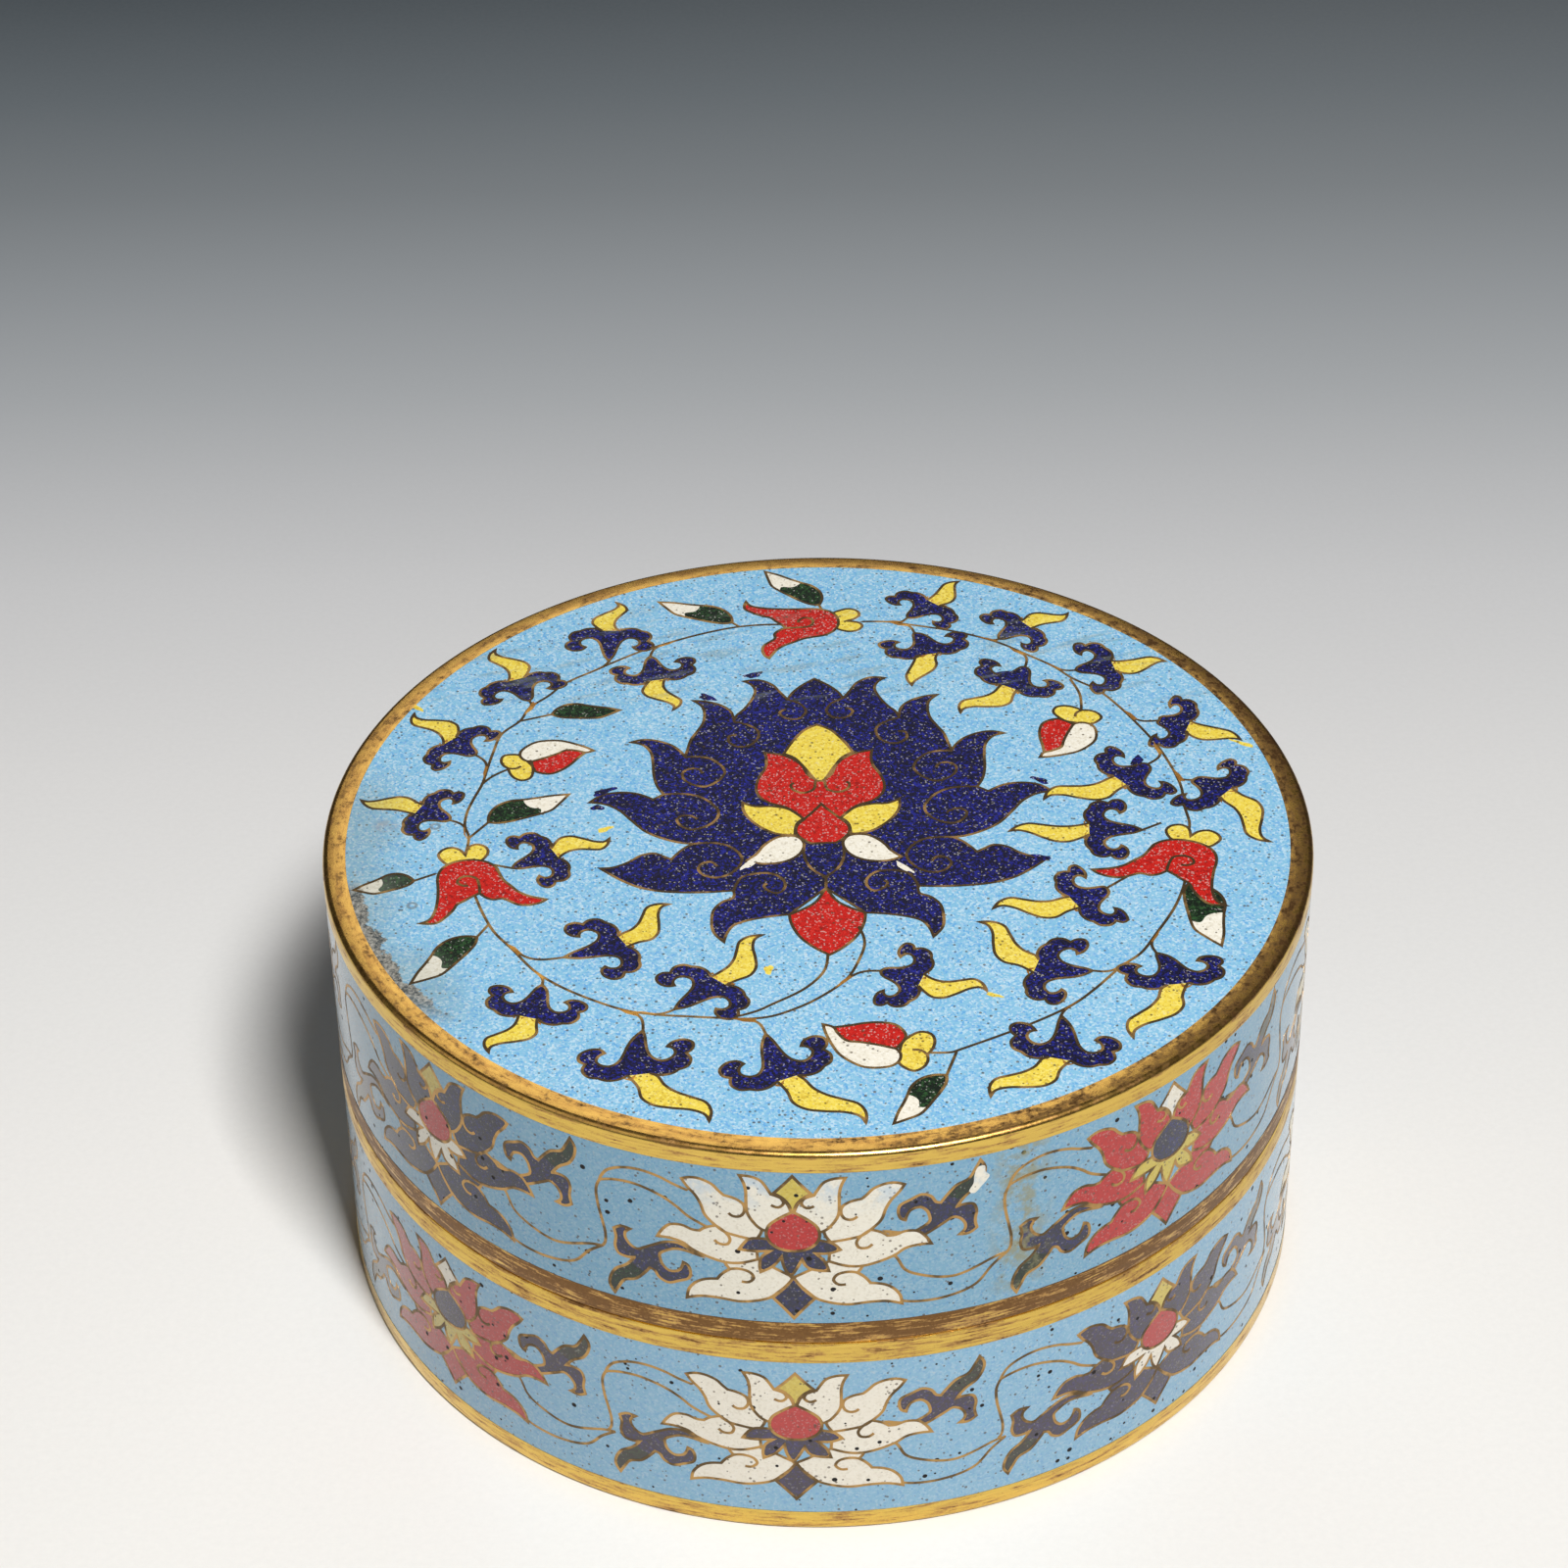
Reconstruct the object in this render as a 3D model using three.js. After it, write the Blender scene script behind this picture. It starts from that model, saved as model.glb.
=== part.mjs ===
import * as THREE from 'three';

// Round cloisonne enamel box with a lift-off lid, in millimetres, +Z up.
// The origin is the centre of the circle that the foot ring stands on.
// Base and lid are gilt copper shells of the same radius. Enamel lies flush in
// shallow recesses: a disc on the lid's top and a band around each wall.

// Whole box
const outerRadius = 60;
const baseHeight = 30.1;
const lidHeight = 28.6;
const roundSteps = 96;

// Copper sheet and the enamel laid on it
const metalWall = 1.3;
const enamelDepth = 0.9;
const enamelGap = 0.05;

// Bare gilt edges, from the top down
const topMargin = 2.8;
const lidUpperBand = 2.65;
const lidLowerBand = 3.2;
const baseUpperBand = 3.0;
const footBand = 2.8;

// Rounded edges
const topCornerRound = 0.7;
const seamRound = 0.35;
const footRound = 0.5;
const insideFillet = 2;

// Foot ring and floor
const footRingWidth = 3.2;
const footRecess = 1.5;
const floorThickness = 1.6;

// Collar that rises from the base and guides the lid
const collarHeight = 4.5;
const collarOverlap = 5;
const collarThickness = 1.2;
const collarClearance = 0.35;
const collarChamfer = 0.3;
const seatGap = 0.05;

// Radii and heights that follow from them
const recessRadius = outerRadius - enamelDepth;
const innerRadius = recessRadius - metalWall;
const discRadius = outerRadius - topMargin;
const collarOuter = innerRadius - collarClearance;
const collarInner = collarOuter - collarThickness;
const floorTop = footRecess + floorThickness;
const ceiling = lidHeight - enamelDepth - metalWall;
const recessTop = lidHeight - enamelDepth;

const giltCopper = new THREE.MeshStandardMaterial({ color: 0xc69a52, roughness: 0.34, metalness: 1 });
const skyEnamel = new THREE.MeshStandardMaterial({ color: 0x93bdd8, roughness: 0.22, metalness: 0 });

// Points of a round edge, from one angle to the other, in degrees.
function arc(centreR, centreZ, radius, fromAngle, toAngle, steps) {
  const points = [];
  for (let step = 0; step <= steps; step += 1) {
    const angle = THREE.MathUtils.degToRad(fromAngle + (toAngle - fromAngle) * (step / steps));
    points.push([centreR + radius * Math.cos(angle), centreZ + radius * Math.sin(angle)]);
  }
  return points;
}

// A closed section of [radius, height] points, turned about the box's axis.
function turned(name, section, material) {
  const points = section.map(([radius, height]) => new THREE.Vector2(radius, height));
  const geometry = new THREE.LatheGeometry(points, roundSteps);
  geometry.rotateX(Math.PI / 2);
  const mesh = new THREE.Mesh(geometry, material);
  mesh.name = name;
  return mesh;
}

// The recess for an enamel band, cut into a wall between two heights.
function recess(low, high) {
  return [[outerRadius, low], [recessRadius, low], [recessRadius, high], [outerRadius, high]];
}

// A ring of enamel that fills such a recess.
function enamelBand(name, low, high) {
  const inside = recessRadius + enamelGap;
  const bottom = low + enamelGap;
  const top = high - enamelGap;
  const section = [[inside, bottom], [outerRadius, bottom], [outerRadius, top], [inside, top], [inside, bottom]];
  return turned(name, section, skyEnamel);
}

// Base: floor on a foot ring, wall with its recess, and the collar inside the rim.
const baseEnamelLow = footBand;
const baseEnamelHigh = baseHeight - baseUpperBand;
const footInner = outerRadius - footRingWidth;
const collarTop = baseHeight + collarHeight;
const collarFoot = baseHeight - collarOverlap;
const baseSection = [
  [0, footRecess],
  [footInner, footRecess],
  [footInner, 0],
  ...arc(outerRadius - footRound, footRound, footRound, -90, 0, 3),
  ...recess(baseEnamelLow, baseEnamelHigh),
  ...arc(outerRadius - seamRound, baseHeight - seamRound, seamRound, 0, 90, 2),
  [collarOuter, baseHeight],
  [collarOuter, collarTop - collarChamfer],
  [collarOuter - collarChamfer, collarTop],
  [collarInner, collarTop],
  [collarInner, collarFoot],
  [innerRadius, collarFoot],
  ...arc(innerRadius - insideFillet, floorTop + insideFillet, insideFillet, 0, -90, 3),
  [0, floorTop],
];
const base = new THREE.Group();
base.add(turned('base_body', baseSection, giltCopper));
base.add(enamelBand('base_side_enamel', baseEnamelLow, baseEnamelHigh));

// Lid, in its own frame with its rim at height 0: wall with its recess, rounded
// top corner, and a flat top sunk for the enamel disc.
const lidEnamelLow = lidLowerBand;
const lidEnamelHigh = lidHeight - lidUpperBand;
const lidSection = [
  [0, ceiling],
  ...arc(innerRadius - insideFillet, ceiling - insideFillet, insideFillet, 90, 0, 3),
  [innerRadius, 0],
  ...arc(outerRadius - seamRound, seamRound, seamRound, -90, 0, 2),
  ...recess(lidEnamelLow, lidEnamelHigh),
  ...arc(outerRadius - topCornerRound, lidHeight - topCornerRound, topCornerRound, 0, 90, 4),
  [discRadius, lidHeight],
  [discRadius, recessTop],
  [0, recessTop],
];
const discSection = [
  [0, recessTop + enamelGap],
  [discRadius - enamelGap, recessTop + enamelGap],
  [discRadius - enamelGap, lidHeight],
  [0, lidHeight],
];
const lid = new THREE.Group();
lid.position.z = baseHeight + seatGap;
lid.add(turned('lid_body', lidSection, giltCopper));
lid.add(enamelBand('lid_side_enamel', lidEnamelLow, lidEnamelHigh));
lid.add(turned('lid_top_enamel', discSection, skyEnamel));

const box = new THREE.Group();
box.add(base, lid);

export default box;
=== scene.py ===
import math

import bmesh
import bpy
import numpy as np
from mathutils import Matrix, Vector
from mathutils.geometry import delaunay_2d_cdt


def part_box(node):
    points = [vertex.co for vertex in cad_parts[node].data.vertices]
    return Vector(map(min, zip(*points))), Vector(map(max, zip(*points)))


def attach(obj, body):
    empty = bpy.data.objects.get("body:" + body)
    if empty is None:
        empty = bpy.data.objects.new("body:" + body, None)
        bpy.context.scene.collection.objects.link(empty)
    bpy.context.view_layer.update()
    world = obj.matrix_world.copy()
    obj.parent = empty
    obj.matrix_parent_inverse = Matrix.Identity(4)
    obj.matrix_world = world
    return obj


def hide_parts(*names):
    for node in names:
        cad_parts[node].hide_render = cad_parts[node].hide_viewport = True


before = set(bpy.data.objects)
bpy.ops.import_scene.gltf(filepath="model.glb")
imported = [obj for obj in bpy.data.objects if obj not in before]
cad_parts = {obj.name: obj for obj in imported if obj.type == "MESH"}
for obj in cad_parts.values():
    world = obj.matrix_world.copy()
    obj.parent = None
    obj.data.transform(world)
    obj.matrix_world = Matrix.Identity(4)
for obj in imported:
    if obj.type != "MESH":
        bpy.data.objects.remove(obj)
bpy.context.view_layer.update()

# The camera stands in front of the box and looks down on it from about 40 degrees,
# through a long lens. The box stands a little right of and below the picture's middle.
mm = 0.001
view_elevation = math.radians(39.56)
view_distance = 521.34 * mm
aimed_height = 29.36 * mm
pan, tilt, roll = math.radians(-0.456), math.radians(-3.176), math.radians(0.5)
sensor_width = 36
picture_width = 1600
focal_length_in_pixels = 4224.4

camera_data = bpy.data.cameras.new("camera")
camera_data.sensor_width = sensor_width
camera_data.lens = sensor_width * focal_length_in_pixels / picture_width
camera_data.clip_start = 0.01
camera = bpy.data.objects.new("camera", camera_data)
bpy.context.scene.collection.objects.link(camera)
bpy.context.scene.camera = camera
level = Matrix((
    (1, 0, 0),
    (0, math.sin(view_elevation), math.cos(view_elevation)),
    (0, -math.cos(view_elevation), math.sin(view_elevation)),
))
leaned = Matrix.Rotation(roll, 3, "Z") @ Matrix.Rotation(tilt, 3, "X") @ Matrix.Rotation(pan, 3, "Y")
turned = leaned @ level
view_back = view_distance * math.cos(view_elevation)
view_height = view_distance * math.sin(view_elevation)
camera_place = Vector((0, -view_back, view_height))
camera_place.z += aimed_height
camera.matrix_world = Matrix.Translation(camera_place) @ turned.transposed().to_4x4()


# The floor is a plain sheet of pale paper, its colour painted nearly white in front and under the box
# and darker, to slate grey, towards the back: painted shade for the light's falloff. A key lamp
# stands at the front right and a soft panel behind. A card on the left only shows in gloss, such
# as the rim's rounded edge.
class Socket:
    """An output of a material's node, with Python's operators as Math nodes."""

    def __init__(self, finish, output):
        self.finish = finish
        self.output = output

    def math(self, operation, *values):
        inputs = dict(enumerate((self,) + values))
        return self.finish.node("Math", {"operation": operation}, inputs)

    def __add__(self, other):
        return self.math("ADD", other)

    def __sub__(self, other):
        return self.math("SUBTRACT", other)

    def __mul__(self, other):
        return self.math("MULTIPLY", other)

    def __truediv__(self, other):
        return self.math("DIVIDE", other)

    def __rsub__(self, other):
        return self.finish.node("Math", {"operation": "SUBTRACT"}, {0: other, 1: self})

    __radd__ = __add__
    __rmul__ = __mul__

    def step(self, low, high):
        """0 below low, 1 above high, and smooth between them. With low above high it falls."""
        settings = {"interpolation_type": "SMOOTHSTEP"}
        return self.finish.node("MapRange", settings, {0: self, 1: low, 2: high})


class Finish:
    """A material in the making: nodes are added with node(), and end on its shader's sockets."""

    def __init__(self, name, **constants):
        self.material = bpy.data.materials.new(name)
        self.material.use_nodes = True
        self.tree = self.material.node_tree
        self.shader = self.tree.nodes["Principled BSDF"]
        self.feed(self.shader, {key.replace("_", " "): value for key, value in constants.items()})

    def feed(self, node, values):
        """Sets a node's sockets to values, or links them to other nodes."""
        for key, value in values.items():
            if isinstance(value, Socket):
                self.tree.links.new(value.output, node.inputs[key])
            else:
                node.inputs[key].default_value = value

    def node(self, kind, settings, values, output=0):
        """A new node with its settings, such as a ramp's stops, and its sockets' values."""
        made = self.tree.nodes.new("ShaderNode" + kind)
        for key, value in settings.items():
            if key == "stops":
                ramp = made.color_ramp.elements
                while len(ramp) < len(value):
                    ramp.new(1)
                for element, (position, colour) in zip(ramp, value):
                    element.position = position
                    element.color = colour
            else:
                setattr(made, key, value)
        self.feed(made, values)
        return Socket(self, made.outputs[output])

    def place(self):
        """The point on the piece, in millimetres."""
        point = self.node("TexCoord", {}, {}, "Object")
        return self.node("VectorMath", {"operation": "SCALE"}, {0: point, "Scale": 1000}, "Vector")

    def split(self, vector):
        """The three numbers of a vector or a colour."""
        part = self.node("SeparateXYZ", {}, {0: vector}, "X")
        return [Socket(self, part.output.node.outputs[axis]) for axis in range(3)]

    def join(self, x, y, z):
        return self.node("CombineXYZ", {}, {0: x, 1: y, 2: z})

    def noise(self, place, size, detail=3, roughness=0.55):
        """Cloudy noise about 0.5, with features of about size millimetres."""
        values = {"Vector": place, "Scale": 1 / size, "Detail": detail, "Roughness": roughness}
        return self.node("TexNoise", {}, values, "Fac")

    def grains(self, place, scale, output):
        """Cells strewn at random: their random colour, or the distance from their middles."""
        return self.node("TexVoronoi", {}, {"Vector": place, "Scale": scale}, output)

    def mix(self, amount, first, second):
        """A colour between two others."""
        values = {0: amount, 6: first, 7: second}
        return self.node("Mix", {"data_type": "RGBA"}, values, 2)


def length(x, y):
    """The length of a way in plan, from its two parts."""
    return (x * x + y * y).math("SQRT")


def rgb(red, green, blue):
    """A colour given as 0 to 255 on a screen, as the shader's linear values."""
    def linear(value):
        value = value / 255
        return value / 12.92 if value <= 0.04045 else ((value + 0.055) / 1.055) ** 2.4

    return (linear(red), linear(green), linear(blue), 1)


floor_size = 6
bpy.ops.object.select_all(action="DESELECT")
bpy.ops.mesh.primitive_plane_add(size=floor_size, location=(0, 0, 0))
floor = bpy.context.object
floor.name = "floor"

# Place from front to back in mm, and the tone painted there: painted shade, darker to the back.
painted_floor_falloff = (
    (-64, (226, 225, 222)), (3, (226, 225, 223)), (44, (221, 221, 220)), (90, (215, 215, 215)),
    (142, (201, 202, 204)), (171, (187, 189, 192)), (202, (168, 172, 176)), (236, (149, 154, 159)),
    (272, (126, 132, 137)), (311, (104, 112, 118)), (354, (81, 89, 95)),
)
floor_light = 0.9
shaded_paper = (0.3, 0.31, 0.32, 1)
paper = Finish("floor_paper", Roughness=0.8, Specular_IOR_Level=0.2)
floor_place = paper.place()
floor_x, floor_y = paper.split(floor_place)[:2]
first_y, last_y = painted_floor_falloff[0][0], painted_floor_falloff[-1][0]
stops = []
for tone_y, tone in painted_floor_falloff:
    colour = [min(1, channel / floor_light) for channel in rgb(*tone)[:3]]
    stops.append(((tone_y - first_y) / (last_y - first_y), (*colour, 1)))
along = (floor_y - first_y) / (last_y - first_y)
shade = paper.node("ValToRGB", {"stops": stops}, {0: along}, 0)
# Painted shade: the paper is painted a little darker towards the right, against the key lamp's light,
# and it is finely mottled.
to_the_right = (floor_x / 100).step(-1.3, 1.3)
mottle = paper.noise(floor_place, 0.9, 5, 0.7)
right_shade_and_mottle = to_the_right * 0.12 + mottle * 0.16 - 0.04
paper.feed(paper.shader, {"Base Color": paper.mix(right_shade_and_mottle, shade, shaded_paper)})
floor.data.materials.append(paper.material)

world = bpy.data.worlds.new("studio")
bpy.context.scene.world = world
world.use_nodes = True
room = world.node_tree.nodes["Background"].inputs
room["Color"].default_value = (0.93, 0.96, 1, 1)
room["Strength"].default_value = 0.035
bpy.context.scene.view_settings.view_transform = "Standard"

lamps = (
    # name, place, aimed at, width, height, power in watts, colour
    ("key_light", (0.217, -0.569, 0.975), (0, 0, 0.02), 0.22, 0.22, 15.7, (1, 0.985, 0.965)),
    ("back_light", (-0.08, 1.15, 1.13), (0, 0, 0.058), 0.62, 0.8, 1.8, (1, 0.98, 0.94)),
    ("side_card", (-1.05, -0.5, 0.85), (0, 0, 0.058), 1.5, 1.1, 2.6, (1, 0.99, 0.97)),
)
for lamp_name, lamp_place, aimed_at, width, height, power, colour in lamps:
    lamp_data = bpy.data.lights.new(lamp_name, "AREA")
    lamp_data.shape = "RECTANGLE"
    lamp_data.size = width
    lamp_data.size_y = height
    lamp_data.energy = power
    lamp_data.color = colour
    lamp = bpy.data.objects.new(lamp_name, lamp_data)
    bpy.context.scene.collection.objects.link(lamp)
    lamp.location = lamp_place
    direction = Vector(aimed_at) - Vector(lamp_place)
    lamp.rotation_euler = direction.to_track_quat("-Z", "Y").to_euler()
    lamp.visible_diffuse = lamp_name != "side_card"


# The lid's shell is one piece of copper, turned and gilded: a wall with a sunk band for
# enamel, a flat top sunk inside a rim, and an open underside. Its gilding is rubbed through.
lid_low, lid_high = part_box("lid_body")
radius = lid_high.x / mm
lid_foot, lid_top = lid_low.z / mm, lid_high.z / mm
lid_band = [corner.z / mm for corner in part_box("lid_side_enamel")]
enamel_depth = 0.9
enamel_gap = 0.05
disc_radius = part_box("lid_top_enamel")[1].x / mm + enamel_gap
round_steps = 288
copper_sheet = 1.3
wall = enamel_depth + copper_sheet
ceiling = lid_top - wall
top_round, seam_round, inside_fillet = 0.7, 0.35, 2
sharp_angle = 35


def pick(kind, test):
    """Selects what passes a test of its lowest and highest point and its least and greatest radius."""
    mesh = bmesh.from_edit_mesh(bpy.context.object.data)
    bpy.ops.mesh.select_mode(type=kind)
    bpy.ops.mesh.select_all(action="DESELECT")
    for item in {"FACE": mesh.faces, "EDGE": mesh.edges}[kind]:
        heights = [corner.co.z / mm for corner in item.verts]
        reaches = [corner.co.xy.length / mm for corner in item.verts]
        if test(min(heights), max(heights), min(reaches), max(reaches)):
            item.select_set(True)
    mesh.select_flush_mode()
    bmesh.update_edit_mesh(bpy.context.object.data)


def near(value, wanted):
    """Whether a size is the wanted one, to a hundredth of a millimetre."""
    return abs(value - wanted) < 0.01


def turned_blank(name, low, high):
    """A solid round of copper between two heights, open for editing."""
    bpy.ops.object.select_all(action="DESELECT")
    bpy.ops.mesh.primitive_cylinder_add(
        vertices=round_steps, radius=radius * mm, depth=(high - low) * mm,
        location=(0, 0, (low + high) / 2 * mm),
    )
    blank = bpy.context.object
    blank.name = name
    blank.data.name = name
    bpy.ops.object.transform_apply(location=True, rotation=True, scale=True)
    bpy.ops.object.mode_set(mode="EDIT")
    return blank


def sink_band(low, high):
    """Sinks the wall between two heights, to hold enamel."""
    for height, side in ((low, 1), (high, -1)):
        bpy.ops.mesh.select_all(action="SELECT")
        bpy.ops.mesh.bisect(plane_co=(0, 0, height * mm), plane_no=(0, 0, side))
    pick("FACE", lambda bottom, top, inner, outer: near(bottom, low) and near(top, high))
    bpy.ops.mesh.extrude_region()
    narrower = (radius - enamel_depth) / radius
    bpy.ops.transform.resize(value=(narrower, narrower, 1), center_override=(0, 0, 0))


def round_over(height, reach, size, segments):
    """Rounds the circular edge at one height and radius."""
    pick("EDGE", lambda bottom, top, inner, outer: (
        near(bottom, height) and near(top, height) and near(inner, reach) and near(outer, reach)))
    bpy.ops.mesh.bevel(offset=size * mm, segments=segments, profile=0.5, affect="EDGES")


def sink_face(height, reach, margin, rise):
    """Insets the round face at one height by a margin, and moves its middle up, or down."""
    pick("FACE", lambda bottom, top, inner, outer: (
        near(bottom, height) and near(top, height) and near(inner, reach)))
    bpy.ops.mesh.inset(thickness=margin * mm, depth=0)
    bpy.ops.mesh.extrude_region()
    bpy.ops.transform.translate(value=(0, 0, rise * mm))


def finish_turning():
    """Turns all faces outwards, ends the editing, and smooths all but the sharp edges."""
    bpy.ops.mesh.select_all(action="SELECT")
    bpy.ops.mesh.normals_make_consistent(inside=False)
    bpy.ops.object.mode_set(mode="OBJECT")
    bpy.ops.object.shade_smooth_by_angle(angle=math.radians(sharp_angle))


def worn_gilt():
    """Gilding on copper, streaked along the wall, mottled on top, and rubbed brown in places."""
    gilt = Finish("worn_gilt", Metallic=1.0, Specular_IOR_Level=0.5)
    place = gilt.place()
    x, y, z = gilt.split(place)
    reach = length(x, y)
    on_top = z.step(58.3, 58.5)
    streaky = gilt.noise(gilt.join(x * 0.22, y * 0.22, (reach + z) * 3.2), 1, 6, 0.62)
    brushed = streaky + on_top * (gilt.noise(place, 1.0, 5, 0.7) - streaky)
    blotches = gilt.noise(gilt.join(x * 0.35, y * 0.35, (reach + z) * 1.3), 1.3, 6, 0.7)
    fine = gilt.noise(place, 0.35, 3, 0.6)
    # How worn each band is, from its lower edge up: foot, base, seam, lid and top.
    full_height = 58.75
    band_wear = ((0, 0.64), (10, 0.7), (30.13, 1.05), (45, 0.62), (58.45, 0.58))
    stops = [(start / full_height, (amount, amount, amount, 1)) for start, amount in band_wear]
    wear = gilt.node("ValToRGB", {"stops": stops}, {0: z / full_height}, 0)
    wear.output.node.color_ramp.interpolation = "CONSTANT"
    right_side = (x / 60).step(-0.2, 1) * on_top * 0.1
    worn = brushed * 0.6 + blotches * 0.55 + fine * 0.16 + right_side
    bare = worn - (0.98 - wear * 0.4)
    rubbed = bare.step(-0.09, 0.04)
    dark = bare.step(0.03, 0.08)
    gold = gilt.mix(brushed, (0.86, 0.6, 0.14, 1), (0.54, 0.35, 0.08, 1))
    mottled = gilt.mix(blotches.step(0.35, 0.65), (0.95, 0.57, 0.14, 1), (0.64, 0.34, 0.09, 1))
    gold = gilt.mix(on_top, gold, mottled)
    brown = gilt.mix(fine, (0.28, 0.145, 0.05, 1), (0.13, 0.065, 0.026, 1))
    tarnished = gilt.mix(dark, (0.46, 0.26, 0.09, 1), brown)
    colour = gilt.mix(rubbed, gold, tarnished)
    roughness = rubbed * 0.12 + dark * 0.1 + brushed * 0.2 + on_top * 0.02 + 0.14
    height = brushed * 0.5 + fine * 0.3 - dark * 0.6
    bump = gilt.node("Bump", {}, {"Strength": 0.3, "Distance": 0.00005, "Height": height}, "Normal")
    gilt.feed(gilt.shader, {"Base Color": colour, "Roughness": roughness, "Normal": bump})
    return gilt.material


lid_shell = turned_blank("lid_shell", lid_foot, lid_top)
sink_band(lid_band[0] - enamel_gap, lid_band[1] + enamel_gap)
sink_face(lid_top, radius, radius - disc_radius, -enamel_depth)
sink_face(lid_foot, radius, wall, ceiling - lid_foot)
round_over(lid_top, radius, top_round, 4)
round_over(lid_foot, radius, seam_round, 2)
round_over(ceiling, radius - wall, inside_fillet, 4)
finish_turning()
rim_gilt = worn_gilt()
lid_shell.data.materials.append(rim_gilt)
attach(lid_shell, "root")
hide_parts("lid_body")


# The base's shell is turned from the same copper: a foot ring under the floor, a wall
# with its sunk band, and a thin collar inside the rim that the lid slips over.
rim_height = 30.1
collar_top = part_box("base_body")[1].z / mm
base_band = [corner.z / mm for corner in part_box("base_side_enamel")]
foot_ring, foot_recess = 3.2, 1.5
floor_thickness = 1.6
collar_clearance, collar_thickness, collar_overlap = 0.35, 1.2, 5
inner_radius = radius - wall
collar_outer = inner_radius - collar_clearance
collar_inner = collar_outer - collar_thickness
collar_foot = rim_height - collar_overlap
floor_top = foot_recess + floor_thickness
foot_round, collar_chamfer = 0.5, 0.3

base_shell = turned_blank("base_shell", 0, rim_height)
sink_band(base_band[0] - enamel_gap, base_band[1] + enamel_gap)
sink_face(rim_height, radius, radius - collar_outer, collar_top - rim_height)
sink_face(collar_top, collar_outer, collar_outer - collar_inner, collar_foot - collar_top)
bpy.ops.mesh.extrude_region()
wider = inner_radius / collar_inner
bpy.ops.transform.resize(value=(wider, wider, 1), center_override=(0, 0, 0))
bpy.ops.mesh.extrude_region()
bpy.ops.transform.translate(value=(0, 0, (floor_top - collar_foot) * mm))
sink_face(0, radius, foot_ring, foot_recess)
round_over(rim_height, radius, seam_round, 2)
round_over(0, radius, foot_round, 3)
round_over(collar_top, collar_outer, collar_chamfer, 1)
round_over(floor_top, inner_radius, inside_fillet, 4)
finish_turning()
base_shell.data.materials.append(rim_gilt)
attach(base_shell, "root")
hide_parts("base_body")


# The lid's top is a disc of enamel with its wires. Each wire is a thin brass strip set on
# edge, bent to the drawing. The cells between are filled with colour and ground flush.
C = "corner"
enamel_below = 0.03
wire_below = 0.012
wire_width = 0.37
trace_step = 0.3
merge_gap = 0.0005
least_area = 1e-7
# Solder: how wide a gap it fills in a tip and at a fork, how far in, and the widest tip it is in
tip_gap, tip_depth, widest_tip = 0.8, 2.2, 1.45
fork_throat, fork_depth = 0.5, 1.3


def trace(knots, closed=False):
    """A smooth line through the knots, which turns sharply only at those marked C."""
    knots = list(knots)
    sharp = [index for index, knot in enumerate(knots) if len(knot) == 3]
    if closed and sharp:
        knots = knots[sharp[0]:] + knots[:sharp[0] + 1]
        sharp = [index for index, knot in enumerate(knots) if len(knot) == 3]
    points = np.array([knot[:2] for knot in knots], float)
    if closed and not sharp:
        wrapped = np.vstack([points[-3:], points, points[:4]])
        return np.vstack(smooth_pieces(wrapped)[3:3 + len(points)])
    ends = sorted({0, len(points) - 1, *sharp})
    pieces = []
    for first, last in zip(ends, ends[1:]):
        pieces += smooth_pieces(points[first:last + 1])
    if not closed:
        pieces.append(points[-1:])
    return np.vstack(pieces)


def smooth_pieces(points):
    """The curve between each pair of points, without its last point, with even speed."""
    move = np.diff(points, axis=0)
    chords = np.linalg.norm(move, axis=1)
    pace = chords ** 0.5
    slope = move / pace[:, None]
    if len(points) == 2:
        tangent = np.vstack([slope, slope])
    else:
        inner = slope[:-1] + slope[1:] - (points[2:] - points[:-2]) / (pace[:-1] + pace[1:])[:, None]
        first = 1.5 * slope[:1] - 0.5 * inner[:1]
        last = 1.5 * slope[-1:] - 0.5 * inner[-1:]
        tangent = np.vstack([first, inner, last])
    pieces = []
    for index, chord in enumerate(chords):
        count = max(1, round(chord / trace_step))
        part = (np.arange(count) / count)[:, None]
        start, end = points[index], points[index + 1]
        lead, trail = pace[index] * tangent[index], pace[index] * tangent[index + 1]
        pieces.append(
            (1 + 2 * part) * (1 - part) ** 2 * start + part * (1 - part) ** 2 * lead
            + part ** 2 * (3 - 2 * part) * end + part ** 2 * (part - 1) * trail
        )
    return pieces


def flank(line, offset, closed):
    """The line moved sideways by an offset, with its corners kept pointed."""
    before = np.roll(line, 1, axis=0)
    after = np.roll(line, -1, axis=0)
    if not closed:
        before[0] = 2 * line[0] - line[1]
        after[-1] = 2 * line[-1] - line[-2]
    into = line - before
    out = after - line
    into /= np.linalg.norm(into, axis=1)[:, None] + 1e-12
    out /= np.linalg.norm(out, axis=1)[:, None] + 1e-12
    side = np.column_stack([-(into + out)[:, 1], (into + out)[:, 0]])
    side /= np.linalg.norm(side, axis=1)[:, None] + 1e-12
    lean = np.abs(-side[:, 0] * out[:, 1] + side[:, 1] * out[:, 0])
    return line + side * (offset / np.maximum(lean, 0.45))[:, None]


def inside(points, outline):
    """Which points lie inside a closed outline."""
    hit = np.zeros(len(points), bool)
    low, high = outline.min(axis=0), outline.max(axis=0)
    near_it = np.flatnonzero(((points >= low) & (points <= high)).all(axis=1))
    x, y = points[near_it].T
    odd = np.zeros(len(near_it), bool)
    for (x1, y1), (x2, y2) in zip(outline, np.roll(outline, -1, axis=0)):
        if y1 != y2:
            crosses = (y1 > y) != (y2 > y)
            odd ^= crosses & (x < (x2 - x1) * (y - y1) / (y2 - y1) + x1)
    hit[near_it] = odd
    return hit


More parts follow.
